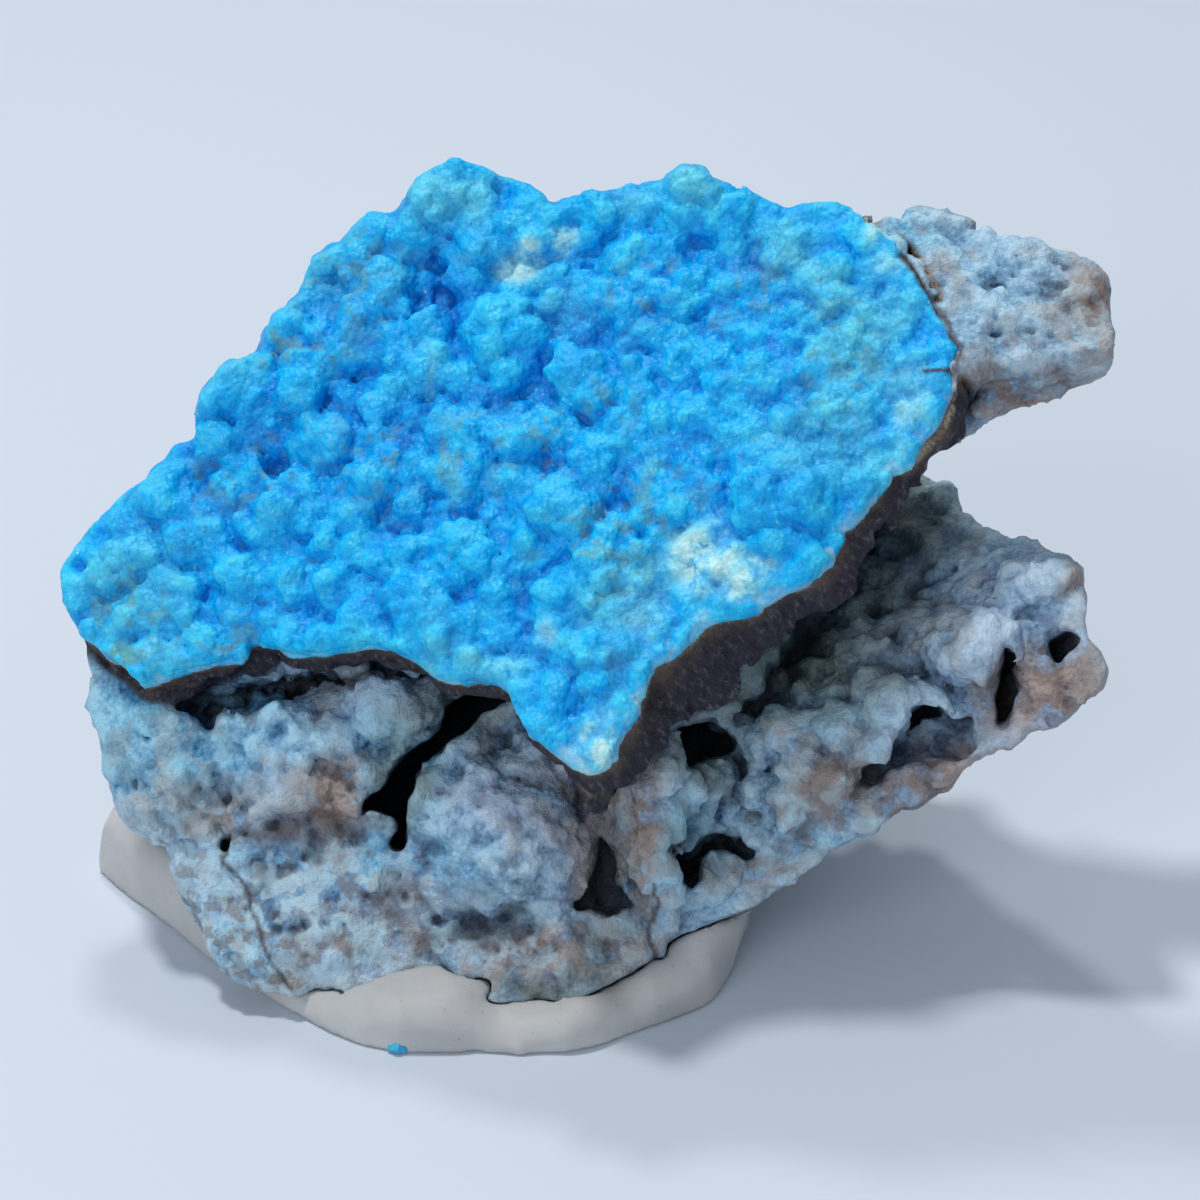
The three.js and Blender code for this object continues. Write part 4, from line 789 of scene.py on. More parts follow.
def make_mesh(name, field, least=400, every=1):
    """A closed mesh of the field, in metres, on the frame's root."""
    cell = F.cell * every
    field = field[::every, ::every, ::every]
    ins = np.argwhere(field < 0)
    lo, hi = np.maximum(ins.min(0) - 3, 0), np.minimum(ins.max(0) + 4, field.shape)
    w = tuple(slice(a, b) for a, b in zip(lo, hi))
    sub = field[w].copy()
    for ax in range(3):
        for e in (0, -1):
            s = [slice(None)] * 3
            s[ax] = e
            sub[tuple(s)] = np.maximum(sub[tuple(s)], 0.5)
    p, tris, quads = polygons_of(sub, F.lo + lo * cell, cell)
    faces4 = np.concatenate([quads, np.concatenate([tris, tris[:, 2:]], 1)]) if len(tris) else quads
    keep = component_filter(len(p), faces4, least)
    quads, tris = quads[keep[: len(quads)]], tris[keep[len(quads):]]
    used = np.zeros(len(p), bool)
    used[quads.ravel()] = True
    used[tris.ravel()] = True
    index = np.cumsum(used) - 1
    p, quads, tris = p[used], index[quads], index[tris]
    me = bpy.data.meshes.new(name)
    me.vertices.add(len(p))
    me.vertices.foreach_set("co", (p / 1000).astype(np.float32).ravel())
    corners = np.concatenate([quads.ravel(), tris.ravel()]).astype(np.int32)
    me.loops.add(len(corners))
    me.loops.foreach_set("vertex_index", corners)
    sizes = np.concatenate([np.full(len(quads), 4), np.full(len(tris), 3)])
    me.polygons.add(len(sizes))
    me.polygons.foreach_set("loop_start", np.concatenate([[0], np.cumsum(sizes)[:-1]]).astype(np.int32))
    me.update(calc_edges=True)
    me.validate()
    me.polygons.foreach_set("use_smooth", np.ones(len(me.polygons), bool))
    ob = bpy.data.objects.new(name, me)
    bpy.context.scene.collection.objects.link(ob)
    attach(ob, "root")
    print(name, "triangles", 2 * len(quads) + len(tris), round(time.time() - T0, 1))
    return ob, p


def paint(ob, **values):
    for name, v in values.items():
        a = ob.data.attributes.new(name, "FLOAT", "POINT")
        a.data.foreach_set("value", np.asarray(v, np.float32))


def point_noise(p, size, seed):
    r = np.random.default_rng(seed)
    t = r.uniform(0, 1, 4096)
    q = p / size + r.uniform(0, 50, 3)
    i = np.floor(q).astype(np.int64)
    f = q - i
    f = f * f * (3 - 2 * f)
    out = 0
    for dx in (0, 1):
        for dy in (0, 1):
            for dz in (0, 1):
                k = ((i[:, 0] + dx) * 73856093) ^ ((i[:, 1] + dy) * 19349663) ^ ((i[:, 2] + dz) * 83492791)
                w = (f[:, 0] if dx else 1 - f[:, 0]) * (f[:, 1] if dy else 1 - f[:, 1]) * (f[:, 2] if dz else 1 - f[:, 2])
                out = out + w * t[k & 4095]
    return out


def piece(field, zone):
    """The solid inside zone, and a little under its neighbours' skin past it."""
    over = np.clip(zone / 0.35, 0, 1)
    return np.maximum(field + 0.16 * over, zone - 0.55)


PALE = [(528, 262, 26, 16, 0.9), (575, 250, 18, 14, 0.7), (705, 560, 34, 30, 1.0), (740, 580, 34, 20, 0.9), (592, 735, 22, 28, 0.9), (540, 625, 16, 18, 0.6), (655, 620, 26, 30, 0.5), (425, 372, 8, 26, 0.4), (920, 400, 16, 50, 0.6), (900, 270, 22, 16, 0.5), (885, 235, 26, 14, 0.7), (500, 655, 26, 14, 0.4), (690, 540, 20, 16, 0.6), (150, 655, 24, 10, 0.5), (470, 262, 14, 10, 0.4)]
DEEP = [(445, 300, 26, 26, 1.0), (380, 420, 60, 34, 0.8), (460, 240, 40, 40, 0.45), (350, 330, 50, 50, 0.6), (250, 430, 40, 34, 0.55), (500, 410, 40, 22, 0.7), (580, 340, 24, 36, 0.8), (745, 262, 40, 10, 0.9), (420, 500, 60, 30, 0.5), (430, 600, 46, 26, 0.6), (300, 500, 50, 26, 0.45), (180, 530, 60, 22, 0.4), (690, 440, 40, 24, 0.35), (785, 500, 34, 34, 0.4), (540, 700, 26, 22, 0.6), (270, 600, 60, 20, 0.35), (640, 300, 26, 26, 0.4), (560, 480, 40, 30, 0.4)]
TEAL = [(830, 250, 60, 26, 0.9), (870, 340, 50, 60, 0.7), (760, 240, 40, 18, 0.5), (690, 180, 30, 16, 0.8), (460, 190, 60, 24, 0.7), (620, 210, 60, 20, 0.6), (500, 660, 60, 24, 0.6), (830, 440, 50, 40, 0.6), (600, 620, 50, 30, 0.5), (130, 600, 60, 50, 0.5), (225, 390, 24, 30, 0.4), (640, 590, 40, 30, 0.6), (330, 270, 40, 24, 0.4), (560, 300, 34, 26, 0.4)]
OCHRE = [(350, 280, 50, 40, 0.5), (560, 240, 40, 20, 0.5), (580, 420, 90, 70, 0.6), (700, 300, 80, 50, 0.6), (440, 440, 80, 40, 0.6), (620, 540, 80, 60, 0.6), (250, 480, 60, 30, 0.6), (160, 620, 90, 30, 0.6), (820, 350, 60, 60, 0.4), (270, 645, 60, 10, 1.0), (120, 655, 40, 14, 1.0), (560, 650, 40, 40, 0.6), (290, 350, 40, 14, 0.9)]
BLUEROCK = [(200, 745, 110, 50, 0.6), (905, 235, 40, 20, 0.8), (970, 280, 60, 50, 0.35), (140, 730, 80, 60, 0.75), (190, 765, 28, 28, 1.0), (240, 775, 22, 22, 1.0), (150, 715, 50, 36, 0.9), (118, 740, 24, 50, 0.8), (220, 705, 60, 16, 1.0), (380, 725, 34, 30, 0.7), (430, 790, 24, 40, 0.7), (450, 850, 40, 40, 0.5), (375, 855, 26, 22, 0.8), (270, 870, 60, 34, 0.6), (290, 760, 40, 40, 0.4), (680, 830, 30, 26, 0.7), (850, 730, 40, 26, 0.45), (640, 900, 20, 20, 0.3), (820, 850, 50, 20, 0.5), (230, 950, 60, 40, 0.5), (700, 880, 40, 20, 0.5)]
BROWN = [(1050, 695, 56, 44, 1.0), (960, 785, 90, 26, 1.0), (276, 466, 14, 12, 1.0), (330, 800, 34, 34, 1.0), (215, 820, 34, 16, 0.8), (310, 825, 50, 14, 0.8), (600, 860, 30, 60, 0.8), (560, 960, 110, 26, 0.8), (470, 985, 80, 14, 0.8), (645, 830, 18, 80, 1.0), (592, 800, 34, 28, 0.9), (830, 785, 34, 34, 0.9), (790, 740, 24, 20, 0.6), (1075, 690, 34, 50, 0.9), (1000, 760, 70, 16, 0.8), (1090, 300, 26, 50, 1.0), (1030, 395, 90, 24, 1.0), (940, 270, 12, 16, 0.6), (1075, 580, 12, 16, 0.9), (900, 800, 60, 14, 0.7), (380, 925, 90, 22, 0.5), (415, 710, 22, 14, 0.5), (560, 790, 40, 40, 0.45), (760, 870, 60, 14, 0.6), (170, 800, 40, 20, 0.4), (280, 990, 30, 16, 0.7)]
# dark patches painted where the plate and overhangs shade the rock: painted shade
CAVE = [(850, 690, 50, 30, 0.6), (560, 988, 90, 12, 0.6), (612, 880, 14, 40, 0.5), (800, 640, 90, 60, 1.0), (910, 520, 50, 40, 1.0), (740, 690, 40, 30, 0.8), (860, 580, 60, 50, 1.0), (700, 760, 40, 24, 0.8), (700, 850, 30, 26, 0.7), (620, 860, 20, 50, 0.4), (450, 710, 50, 24, 0.8), (400, 780, 30, 40, 0.8), (270, 690, 80, 10, 0.4)]
# paler rock painted on faces the lamps light (shelf top, lower left face, ridge): painted light
LIGHT = [(975, 600, 95, 50, 1.0), (935, 648, 60, 40, 0.8), (1000, 270, 80, 50, 0.3), (850, 722, 60, 24, 0.7), (1070, 590, 20, 24, 0.6), (240, 900, 110, 60, 0.6), (340, 930, 110, 50, 0.5), (440, 800, 40, 50, 0.3), (770, 860, 110, 26, 0.6), (672, 780, 14, 40, 0.8)]
PINK = [(1045, 695, 56, 46, 1.0), (975, 780, 90, 40, 1.0), (500, 800, 60, 40, 0.6), (560, 850, 40, 40, 0.5), (330, 690, 60, 30, 0.6), (880, 620, 50, 40, 0.5), (960, 760, 40, 20, 0.6), (1040, 690, 30, 30, 0.6), (430, 690, 30, 20, 0.6), (270, 790, 40, 30, 0.4), (645, 800, 16, 50, 0.7)]


CRACKS = [  # half width, then places
    (3.0, [(900, 256), (914, 270), (928, 292), (945, 320), (960, 350), (955, 364), (951, 376)]),
    (2.0, [(952, 372), (940, 370), (928, 371)]),
    (2.0, [(216, 826), (226, 862), (246, 900), (256, 940), (290, 990)]),
    (2.2, [(655, 885), (650, 920), (656, 962), (630, 975)]),
    (2.0, [(700, 930), (760, 905), (820, 880), (885, 852)]),
]


def crack_mask(px, py):
    out = np.zeros(len(px))
    for width, line in CRACKS:
        best = np.full(len(px), 1e9)
        for (ax, ay), (bx, by) in zip(line[:-1], line[1:]):
            ex, ey = bx - ax, by - ay
            t = np.clip(((px - ax) * ex + (py - ay) * ey) / (ex * ex + ey * ey), 0, 1)
            best = np.minimum(best, np.hypot(px - ax - ex * t, py - ay - ey * t))
        out = np.maximum(out, 1 - ramp(best, width * 0.5, width * 1.7))
    return out


def fractal(p, size, seed, octaves=3, rough=0.55):
    """Noise about 0.5, with a spread like a noise texture's."""
    t, w, k = 0, 0, 1.0
    for j in range(octaves):
        t, w = t + k * (point_noise(p, size / 2**j, seed + 100 * j) - 0.5), w + k
        k *= rough
    return 0.5 + t / w * 1.15


def patterns(ob, p, seed):
    paint(ob, mid=fractal(p, 1.3, seed), wide=fractal(p, 5.5, seed + 1, 2), spots=fractal(p, 0.9, seed + 2, 2), bits=fractal(p, 1.1, seed + 3, 2), stains=fractal(p, 2.2, seed + 4, 3))


def common(p):
    px, py, d, h, rim = on_view(p)
    nor = gradient_at(SOFT, soft, p)
    small = -sample(SOFT, soft, p)
    large = -sample(SOFT, wide, p)
    facing = ramp(-nor[:, 1] * CE + nor[:, 2] * SE, -0.25, 0.15)
    return px, py, d, h, rim, nor, small, large, facing


def paint_crust(ob, p):
    px, py, d, h, rim, nor, small, large, facing = common(p)
    wob = 34 * (point_noise(p, 3.0, 5) - 0.5)
    patterns(ob, p, 60)
    qx, qy = px + wob, py + 34 * (point_noise(p, 3.0, 6) - 0.5)
    n = point_noise(p, 5.0, 7)
    paint(
        ob,
        # relief: lower in creases and between grains; the materials darken it there as painted shade
        relief=np.clip(0.5 - 0.9 * small, 0, 1),
        swell=np.clip(0.5 - 0.35 * large, 0, 1),
        pale=np.clip(blobs(qx, qy, PALE) * facing + 0.0 * n, 0, 1),
        deep=np.clip(blobs(qx, qy, DEEP) * facing + 0.25 * (1 - facing), 0, 1),
        teal=np.clip(blobs(qx, qy, TEAL) * facing + 0.3 * (1 - facing) * n, 0, 1),
        ochre=np.clip(blobs(qx, qy, OCHRE) * facing, 0, 1),
        edge=np.clip(1 - np.abs(rim + 0.2) / 2.2, 0, 1) * ramp(-h, -1.8, 0.0) * (1 - ramp(reach(px, py), 0.6, 2.0)),
        crack=np.clip(crack_mask(px + 16 * (point_noise(p, 2.2, 12) - 0.5) * (py > 400) + 6 * (point_noise(p, 0.8, 13) - 0.5), py) * facing, 0, 1),
    )


def paint_rock(ob, p):
    px, py, d, h, rim, nor, small, large, facing = common(p)
    qx, qy = px + 30 * (point_noise(p, 2.5, 8) - 0.5), py + 30 * (point_noise(p, 2.5, 9) - 0.5)
    patterns(ob, p, 80)
    n, m = point_noise(p, 6.0, 10), point_noise(p, 3.0, 11)
    hidden = 1 - facing
    along = p[:, 0] * 0.93 - p[:, 1] * 0.36
    outward = p[:, 0] * 0.24 + p[:, 1] * 0.70 + p[:, 2] * 0.68
    k = SCALE / (DIST + d)
    u, v, _ = view(p[:, 0], p[:, 1], p[:, 2])
    _, _, ax, ay = plate_coordinates(u, v, d)
    t = plate_thickness(ax, ay)
    depth = -h / t  # 0 at the plate's top, 1 at its underside
    out = rim - flare(ax, ay) * np.clip(depth, 0, 1)
    rind = ramp(-np.abs(depth - 0.45), -0.66, -0.52) * ramp(-np.abs(out), -1.3, -0.8)
    rind *= 1 - ramp(-ay, -470, -440) * ramp(ax, 965, 985)
    paint(
        ob,
        # relief: lower in creases and between grains; the material darkens it there as painted shade
        relief=np.clip(0.5 - 0.9 * small, 0, 1),
        # swell: lower in wide hollows, which the material darkens as painted shade
        swell=np.clip(0.5 - 0.35 * large, 0, 1),
        blue=np.clip(blobs(qx, qy, BLUEROCK) * facing + hidden * 0.5 * ramp(n, 0.5, 0.75), 0, 1),
        brown=np.clip(blobs(qx, qy, BROWN) * facing + hidden * 0.9 * ramp(m + 0.5 * n, 0.55, 0.95), 0, 1),
        # cave: painted shade under the plate and in recesses
        cave=np.clip(blobs(qx, qy, CAVE) * facing + hidden * 0.35 * ramp(1 - n, 0.4, 0.7), 0, 1),
        pink=np.clip(blobs(qx, qy, PINK) * facing + hidden * 0.3 * m, 0, 1),
        rind=np.clip(rind, 0, 1),
        # light: paler rock painted on lit faces
        light=np.clip(blobs(qx, qy, LIGHT) * facing, 0, 1),
        blots=fractal(np.stack([along, outward, h * 0.16], 1), 1.4, 95, 2),
        across=np.clip(depth, 0, 1),
        crack=np.clip(crack_mask(px + 16 * (point_noise(p, 2.2, 12) - 0.5) * (py > 400) + 6 * (point_noise(p, 0.8, 13) - 0.5), py) * facing, 0, 1),
        along=along,
        out=outward,
        over=h,
        speckle=np.clip(blobs(qx, qy, [(240, 930, 120, 80, 1.0), (300, 920, 150, 70, 1.0), (200, 880, 60, 80, 0.8), (560, 950, 90, 40, 0.5), (850, 830, 120, 30, 0.8), (1090, 330, 60, 60, 0.5)]) * facing + 0.5 * hidden, 0, 1),
    )


rest = np.maximum(stone, -zone_crust - 0.5) + 0.16 * np.clip(-zone_crust / 0.35, 0, 1) * (zone_crust < 0)
crust_ob, p = make_mesh("blue_crust", np.maximum(stone, zone_crust))
paint_crust(crust_ob, p)
rocks = []
ob, p = make_mesh("plate_rind", np.maximum(rest, zone_plate))
paint_rock(ob, p)
rocks.append(ob)
rest = np.maximum(rest, -zone_plate - 0.5) + 0.12 * np.clip(-zone_plate / 0.35, 0, 1) * (zone_plate < 0)
ob, p = make_mesh("rock_arm", np.maximum(rest, zone_arm))
paint_rock(ob, p)
rocks.append(ob)
rest = np.maximum(rest, -zone_arm - 0.5) + 0.12 * np.clip(-zone_arm / 0.35, 0, 1) * (zone_arm < 0)
ob, p = make_mesh("rock_shelf", np.maximum(rest, zone_shelf))
paint_rock(ob, p)
rocks.append(ob)
rest = np.maximum(rest, -zone_shelf - 0.5) + 0.12 * np.clip(-zone_shelf / 0.35, 0, 1) * (zone_shelf < 0)
front = F.y + 0.25 * F.z - 2.0
ob, p = make_mesh("rock_block_front", np.maximum(rest, front))
paint_rock(ob, p)
rocks.append(ob)
rest = np.maximum(rest, -front - 0.5) + 0.12 * np.clip(-front / 0.35, 0, 1) * (front < 0)
ob, p = make_mesh("rock_block_back", rest, 100, 2)
paint_rock(ob, p)
rocks.append(ob)

# ---------------------------------------------------------------- the putty
P = Field((-42, -26, -0.56), (14, 15, 9), 0.28)
side = polygon_distance(PUTTY, P.x[:, :, 0], P.y[:, :, 0])[:, :, None] + 0.4 * np.sin(0.45 * P.x + 0.3 * P.y) * np.sin(0.5 * P.z + 0.2 * P.x)
W = 0
H = 0
for a, b, c in PUTTY_HEIGHTS:
    q = 1.0 / ((P.x[:, :, 0] - a) ** 2 + (P.y[:, :, 0] - b) ** 2 + 0.5) ** 1.5
    W, H = W + q, H + q * c
top = P.z - (H / W)[:, :, None] - 0.3 * np.sin(0.5 * P.y + 0.27 * P.x)
R = 2.0
a, b = side + R * 0.7, top + R
lump = np.hypot(np.maximum(a, 0), np.maximum(b, 0)) + np.minimum(np.maximum(a, b), 0) - R
lump = lump + 0.10 * lattice_noise(P, 3.4, 31) + 0.05 * lattice_noise(P, 1.3, 32)
gx, gy, gz = np.meshgrid(P.x.ravel(), P.y.ravel(), P.z.ravel(), indexing="ij")
there = sample(F, stone, np.stack([gx.ravel(), gy.ravel(), gz.ravel()], 1)).reshape(gx.shape)
there = np.where(gz < F.lo[2] + 1.0, np.maximum(there, 0.9 - gz), there)
putty = smax(lump, 0.12 - there, 0.12)
putty = np.maximum(putty, -P.z)
F_keep = F
F = P
putty_ob, p = make_mesh("putty_lump", putty)
F = F_keep
z = p[:, 2]
paint(putty_ob, low=np.clip(1 - z / 1.2, 0, 1), stain=point_noise(p, 4.0, 21), touch=np.clip(1 - sample(F, stone, p) / 0.8, 0, 1))

# a crumb of crust stuck to the putty's front edge
Q = Field((-16.2, -24.0, -0.2), (-11.8, -20.6, 1.8), 0.09)
crumb = np.full(Q.n, 9.0, np.float32)
for x, y, zz, r in ((-14.1, -22.0, 0.42, 0.42), (-13.65, -21.95, 0.36, 0.36), (-14.5, -21.85, 0.30, 0.30), (-13.95, -21.7, 0.55, 0.36)):
    crumb = np.minimum(crumb, np.sqrt((Q.x - x) ** 2 + (Q.y - y) ** 2 + (Q.z - zz) ** 2) - r)
crumb = np.maximum(crumb + 0.04 * lattice_noise(Q, 0.3, 41), 0.02 - Q.z)
F = Q
crumb_ob, p = make_mesh("crust_crumb", crumb, 30)
F = F_keep
m = len(p)
patterns(crumb_ob, p, 60)
paint(crumb_ob, crack=np.zeros(m), relief=np.full(m, 0.5), swell=np.full(m, 0.5), pale=np.full(m, 0.1), deep=np.zeros(m), teal=np.full(m, 0.7), ochre=np.zeros(m), edge=np.zeros(m))


# ------------------------------------------------------------- the materials
def lin(*c):
    return tuple(((q / 255) / 12.92 if q <= 10 else ((q / 255 + 0.055) / 1.055) ** 2.4) for q in c) + (1.0,)


class Mat:
    def __init__(self, name, **sockets):
        self.m = bpy.data.materials.new(name)
        self.m.use_nodes = True
        self.t = self.m.node_tree
        self.b = self.t.nodes["Principled BSDF"]
        for k, v in sockets.items():
            self.b.inputs[k.replace("_", " ")].default_value = v
        self.co = self.t.nodes.new("ShaderNodeTexCoord").outputs["Object"]

    def link(self, a, b):
        self.t.links.new(a, b)

    def put(self, sock, v):
        if hasattr(v, "is_output"):
            self.link(v, sock)
        else:
            sock.default_value = v

    def attr(self, name):
        n = self.t.nodes.new("ShaderNodeAttribute")
        n.attribute_name = name
        return n.outputs["Fac"]

    def noise(self, mm, detail=3, rough=0.6, out="Fac", distort=0.0, co=None):
        n = self.t.nodes.new("ShaderNodeTexNoise")
        n.inputs["Scale"].default_value = 1000.0 / mm
        n.inputs["Detail"].default_value = detail
        n.inputs["Roughness"].default_value = rough
        n.inputs["Distortion"].default_value = distort
        self.link(co or self.co, n.inputs["Vector"])
        return n.outputs[out]

    def voronoi(self, mm, out="Distance", feature="F1", co=None):
        n = self.t.nodes.new("ShaderNodeTexVoronoi")
        n.feature = feature
        n.inputs["Scale"].default_value = 1000.0 / mm
        self.link(co or self.co, n.inputs["Vector"])
        return n.outputs[out]

    def math(self, op, a, b=0.0, c=0.0, clamp=False):
        n = self.t.nodes.new("ShaderNodeMath")
        n.operation = op
        n.use_clamp = clamp
        self.put(n.inputs[0], a)
        self.put(n.inputs[1], b)
        self.put(n.inputs[2], c)
        return n.outputs[0]

    def step(self, v, a, b):
        n = self.t.nodes.new("ShaderNodeMapRange")
        n.interpolation_type = "SMOOTHSTEP"
        self.put(n.inputs["Value"], v)
        n.inputs["From Min"].default_value = a
        n.inputs["From Max"].default_value = b
        return n.outputs["Result"]

    def ramp(self, v, *stops):
        n = self.t.nodes.new("ShaderNodeValToRGB")
        e = n.color_ramp.elements
        while len(e) < len(stops):
            e.new(0.5)
        for k, (pos, col) in zip(e, stops):
            k.position = pos
            k.color = col
        self.link(v, n.inputs["Fac"])
        return n.outputs["Color"]

    def mix(self, fac, a, b, mode="MIX"):
        n = self.t.nodes.new("ShaderNodeMix")
        n.data_type = "RGBA"
        n.blend_type = mode
        self.put(n.inputs[0], fac)
        self.put(n.inputs[6], a)
        self.put(n.inputs[7], b)
        return n.outputs[2]

    def bump(self, height, mm, strength=1.0, normal=None):
        n = self.t.nodes.new("ShaderNodeBump")
        n.inputs["Strength"].default_value = strength
        n.inputs["Distance"].default_value = mm / 1000
        self.link(height, n.inputs["Height"])
        if normal is not None:
            self.link(normal, n.inputs["Normal"])
        return n.outputs["Normal"]


def crust_material():
    M = Mat("blue_crust", Roughness=0.5, Subsurface_Weight=0.32, Subsurface_Scale=0.001, IOR=1.40, Specular_IOR_Level=0.35)
    M.b.inputs["Subsurface Radius"].default_value = (0.12, 0.7, 1.0)
    relief, n_mid, n_wide = M.attr("relief"), M.attr("mid"), M.attr("wide")
    n_fine = M.noise(0.32, 2)
    cells = M.voronoi(0.48)
    # the tone takes the crease shade: raised lobes lighter, creases darker, which is painted shade
    tone = M.math("ADD", M.math("MULTIPLY", n_mid, 0.50), M.math("MULTIPLY", relief, 0.38))
    tone = M.math("ADD", tone, M.math("MULTIPLY", M.math("SUBTRACT", n_fine, 0.5), 0.35))
    body = M.ramp(tone, (0.20, lin(0, 124, 206)), (0.38, lin(0, 154, 228)), (0.54, lin(0, 176, 236)), (0.76, lin(58, 204, 240)))
    body = M.mix(M.math("MULTIPLY", M.attr("deep"), 0.7), body, M.ramp(tone, (0.22, lin(0, 92, 182)), (0.66, lin(0, 154, 234))))
    teal = M.math("MULTIPLY", M.attr("teal"), M.step(n_wide, 0.25, 0.6))
    body = M.mix(M.math("MULTIPLY", teal, 0.85), body, M.ramp(tone, (0.25, lin(6, 146, 184)), (0.7, lin(112, 210, 220))))
    # pale sugary grains between and on the lobes
    sugar = M.math("MULTIPLY", M.step(cells, 0.34, 0.12), M.step(n_mid, 0.46, 0.66))
    body = M.mix(M.math("MULTIPLY", sugar, 0.40), body, lin(140, 216, 232))
    pale = M.math("ADD", M.math("MULTIPLY", M.step(M.math("ADD", n_mid, M.math("MULTIPLY", n_fine, 0.6)), 0.58, 0.98), 0.60), 0.30)
    pale = M.math("MULTIPLY", M.step(M.attr("pale"), 0.02, 0.95), pale)
    body = M.mix(pale, body, lin(112, 216, 228))
    body = M.mix(M.math("MULTIPLY", pale, pale), body, lin(206, 236, 232))
    # a thin olive and ochre bloom
    spots = M.math("MULTIPLY", M.step(M.attr("spots"), 0.52, 0.66), M.step(n_wide, 0.38, 0.62))
    spots = M.math("MULTIPLY", spots, M.math("ADD", M.math("MULTIPLY", M.attr("ochre"), 0.55), 0.10))
    body = M.mix(spots, body, lin(112, 142, 120))
    edge = M.math("MULTIPLY", M.step(M.attr("edge"), 0.45, 0.95), M.step(M.attr("bits"), 0.36, 0.60))
    body = M.mix(M.math("MULTIPLY", edge, 0.62), body, lin(188, 214, 216))
    body = M.mix(M.attr("crack"), body, lin(70, 58, 58))
    glint = M.math("MULTIPLY", M.step(n_fine, 0.70, 0.73), M.step(cells, 0.30, 0.10))
    body = M.mix(M.math("MULTIPLY", glint, 0.75), body, lin(222, 238, 244))
    M.link(body, M.b.inputs["Base Color"])
    grain = M.math("SUBTRACT", M.math("MULTIPLY", n_fine, 0.6), M.math("MULTIPLY", cells, 0.8))
    M.link(M.bump(grain, 0.20, 0.9), M.b.inputs["Normal"])
    M.link(M.math("ADD", M.math("MULTIPLY", M.attr("spots"), 0.4), 0.26), M.b.inputs["Roughness"])
    return M.m


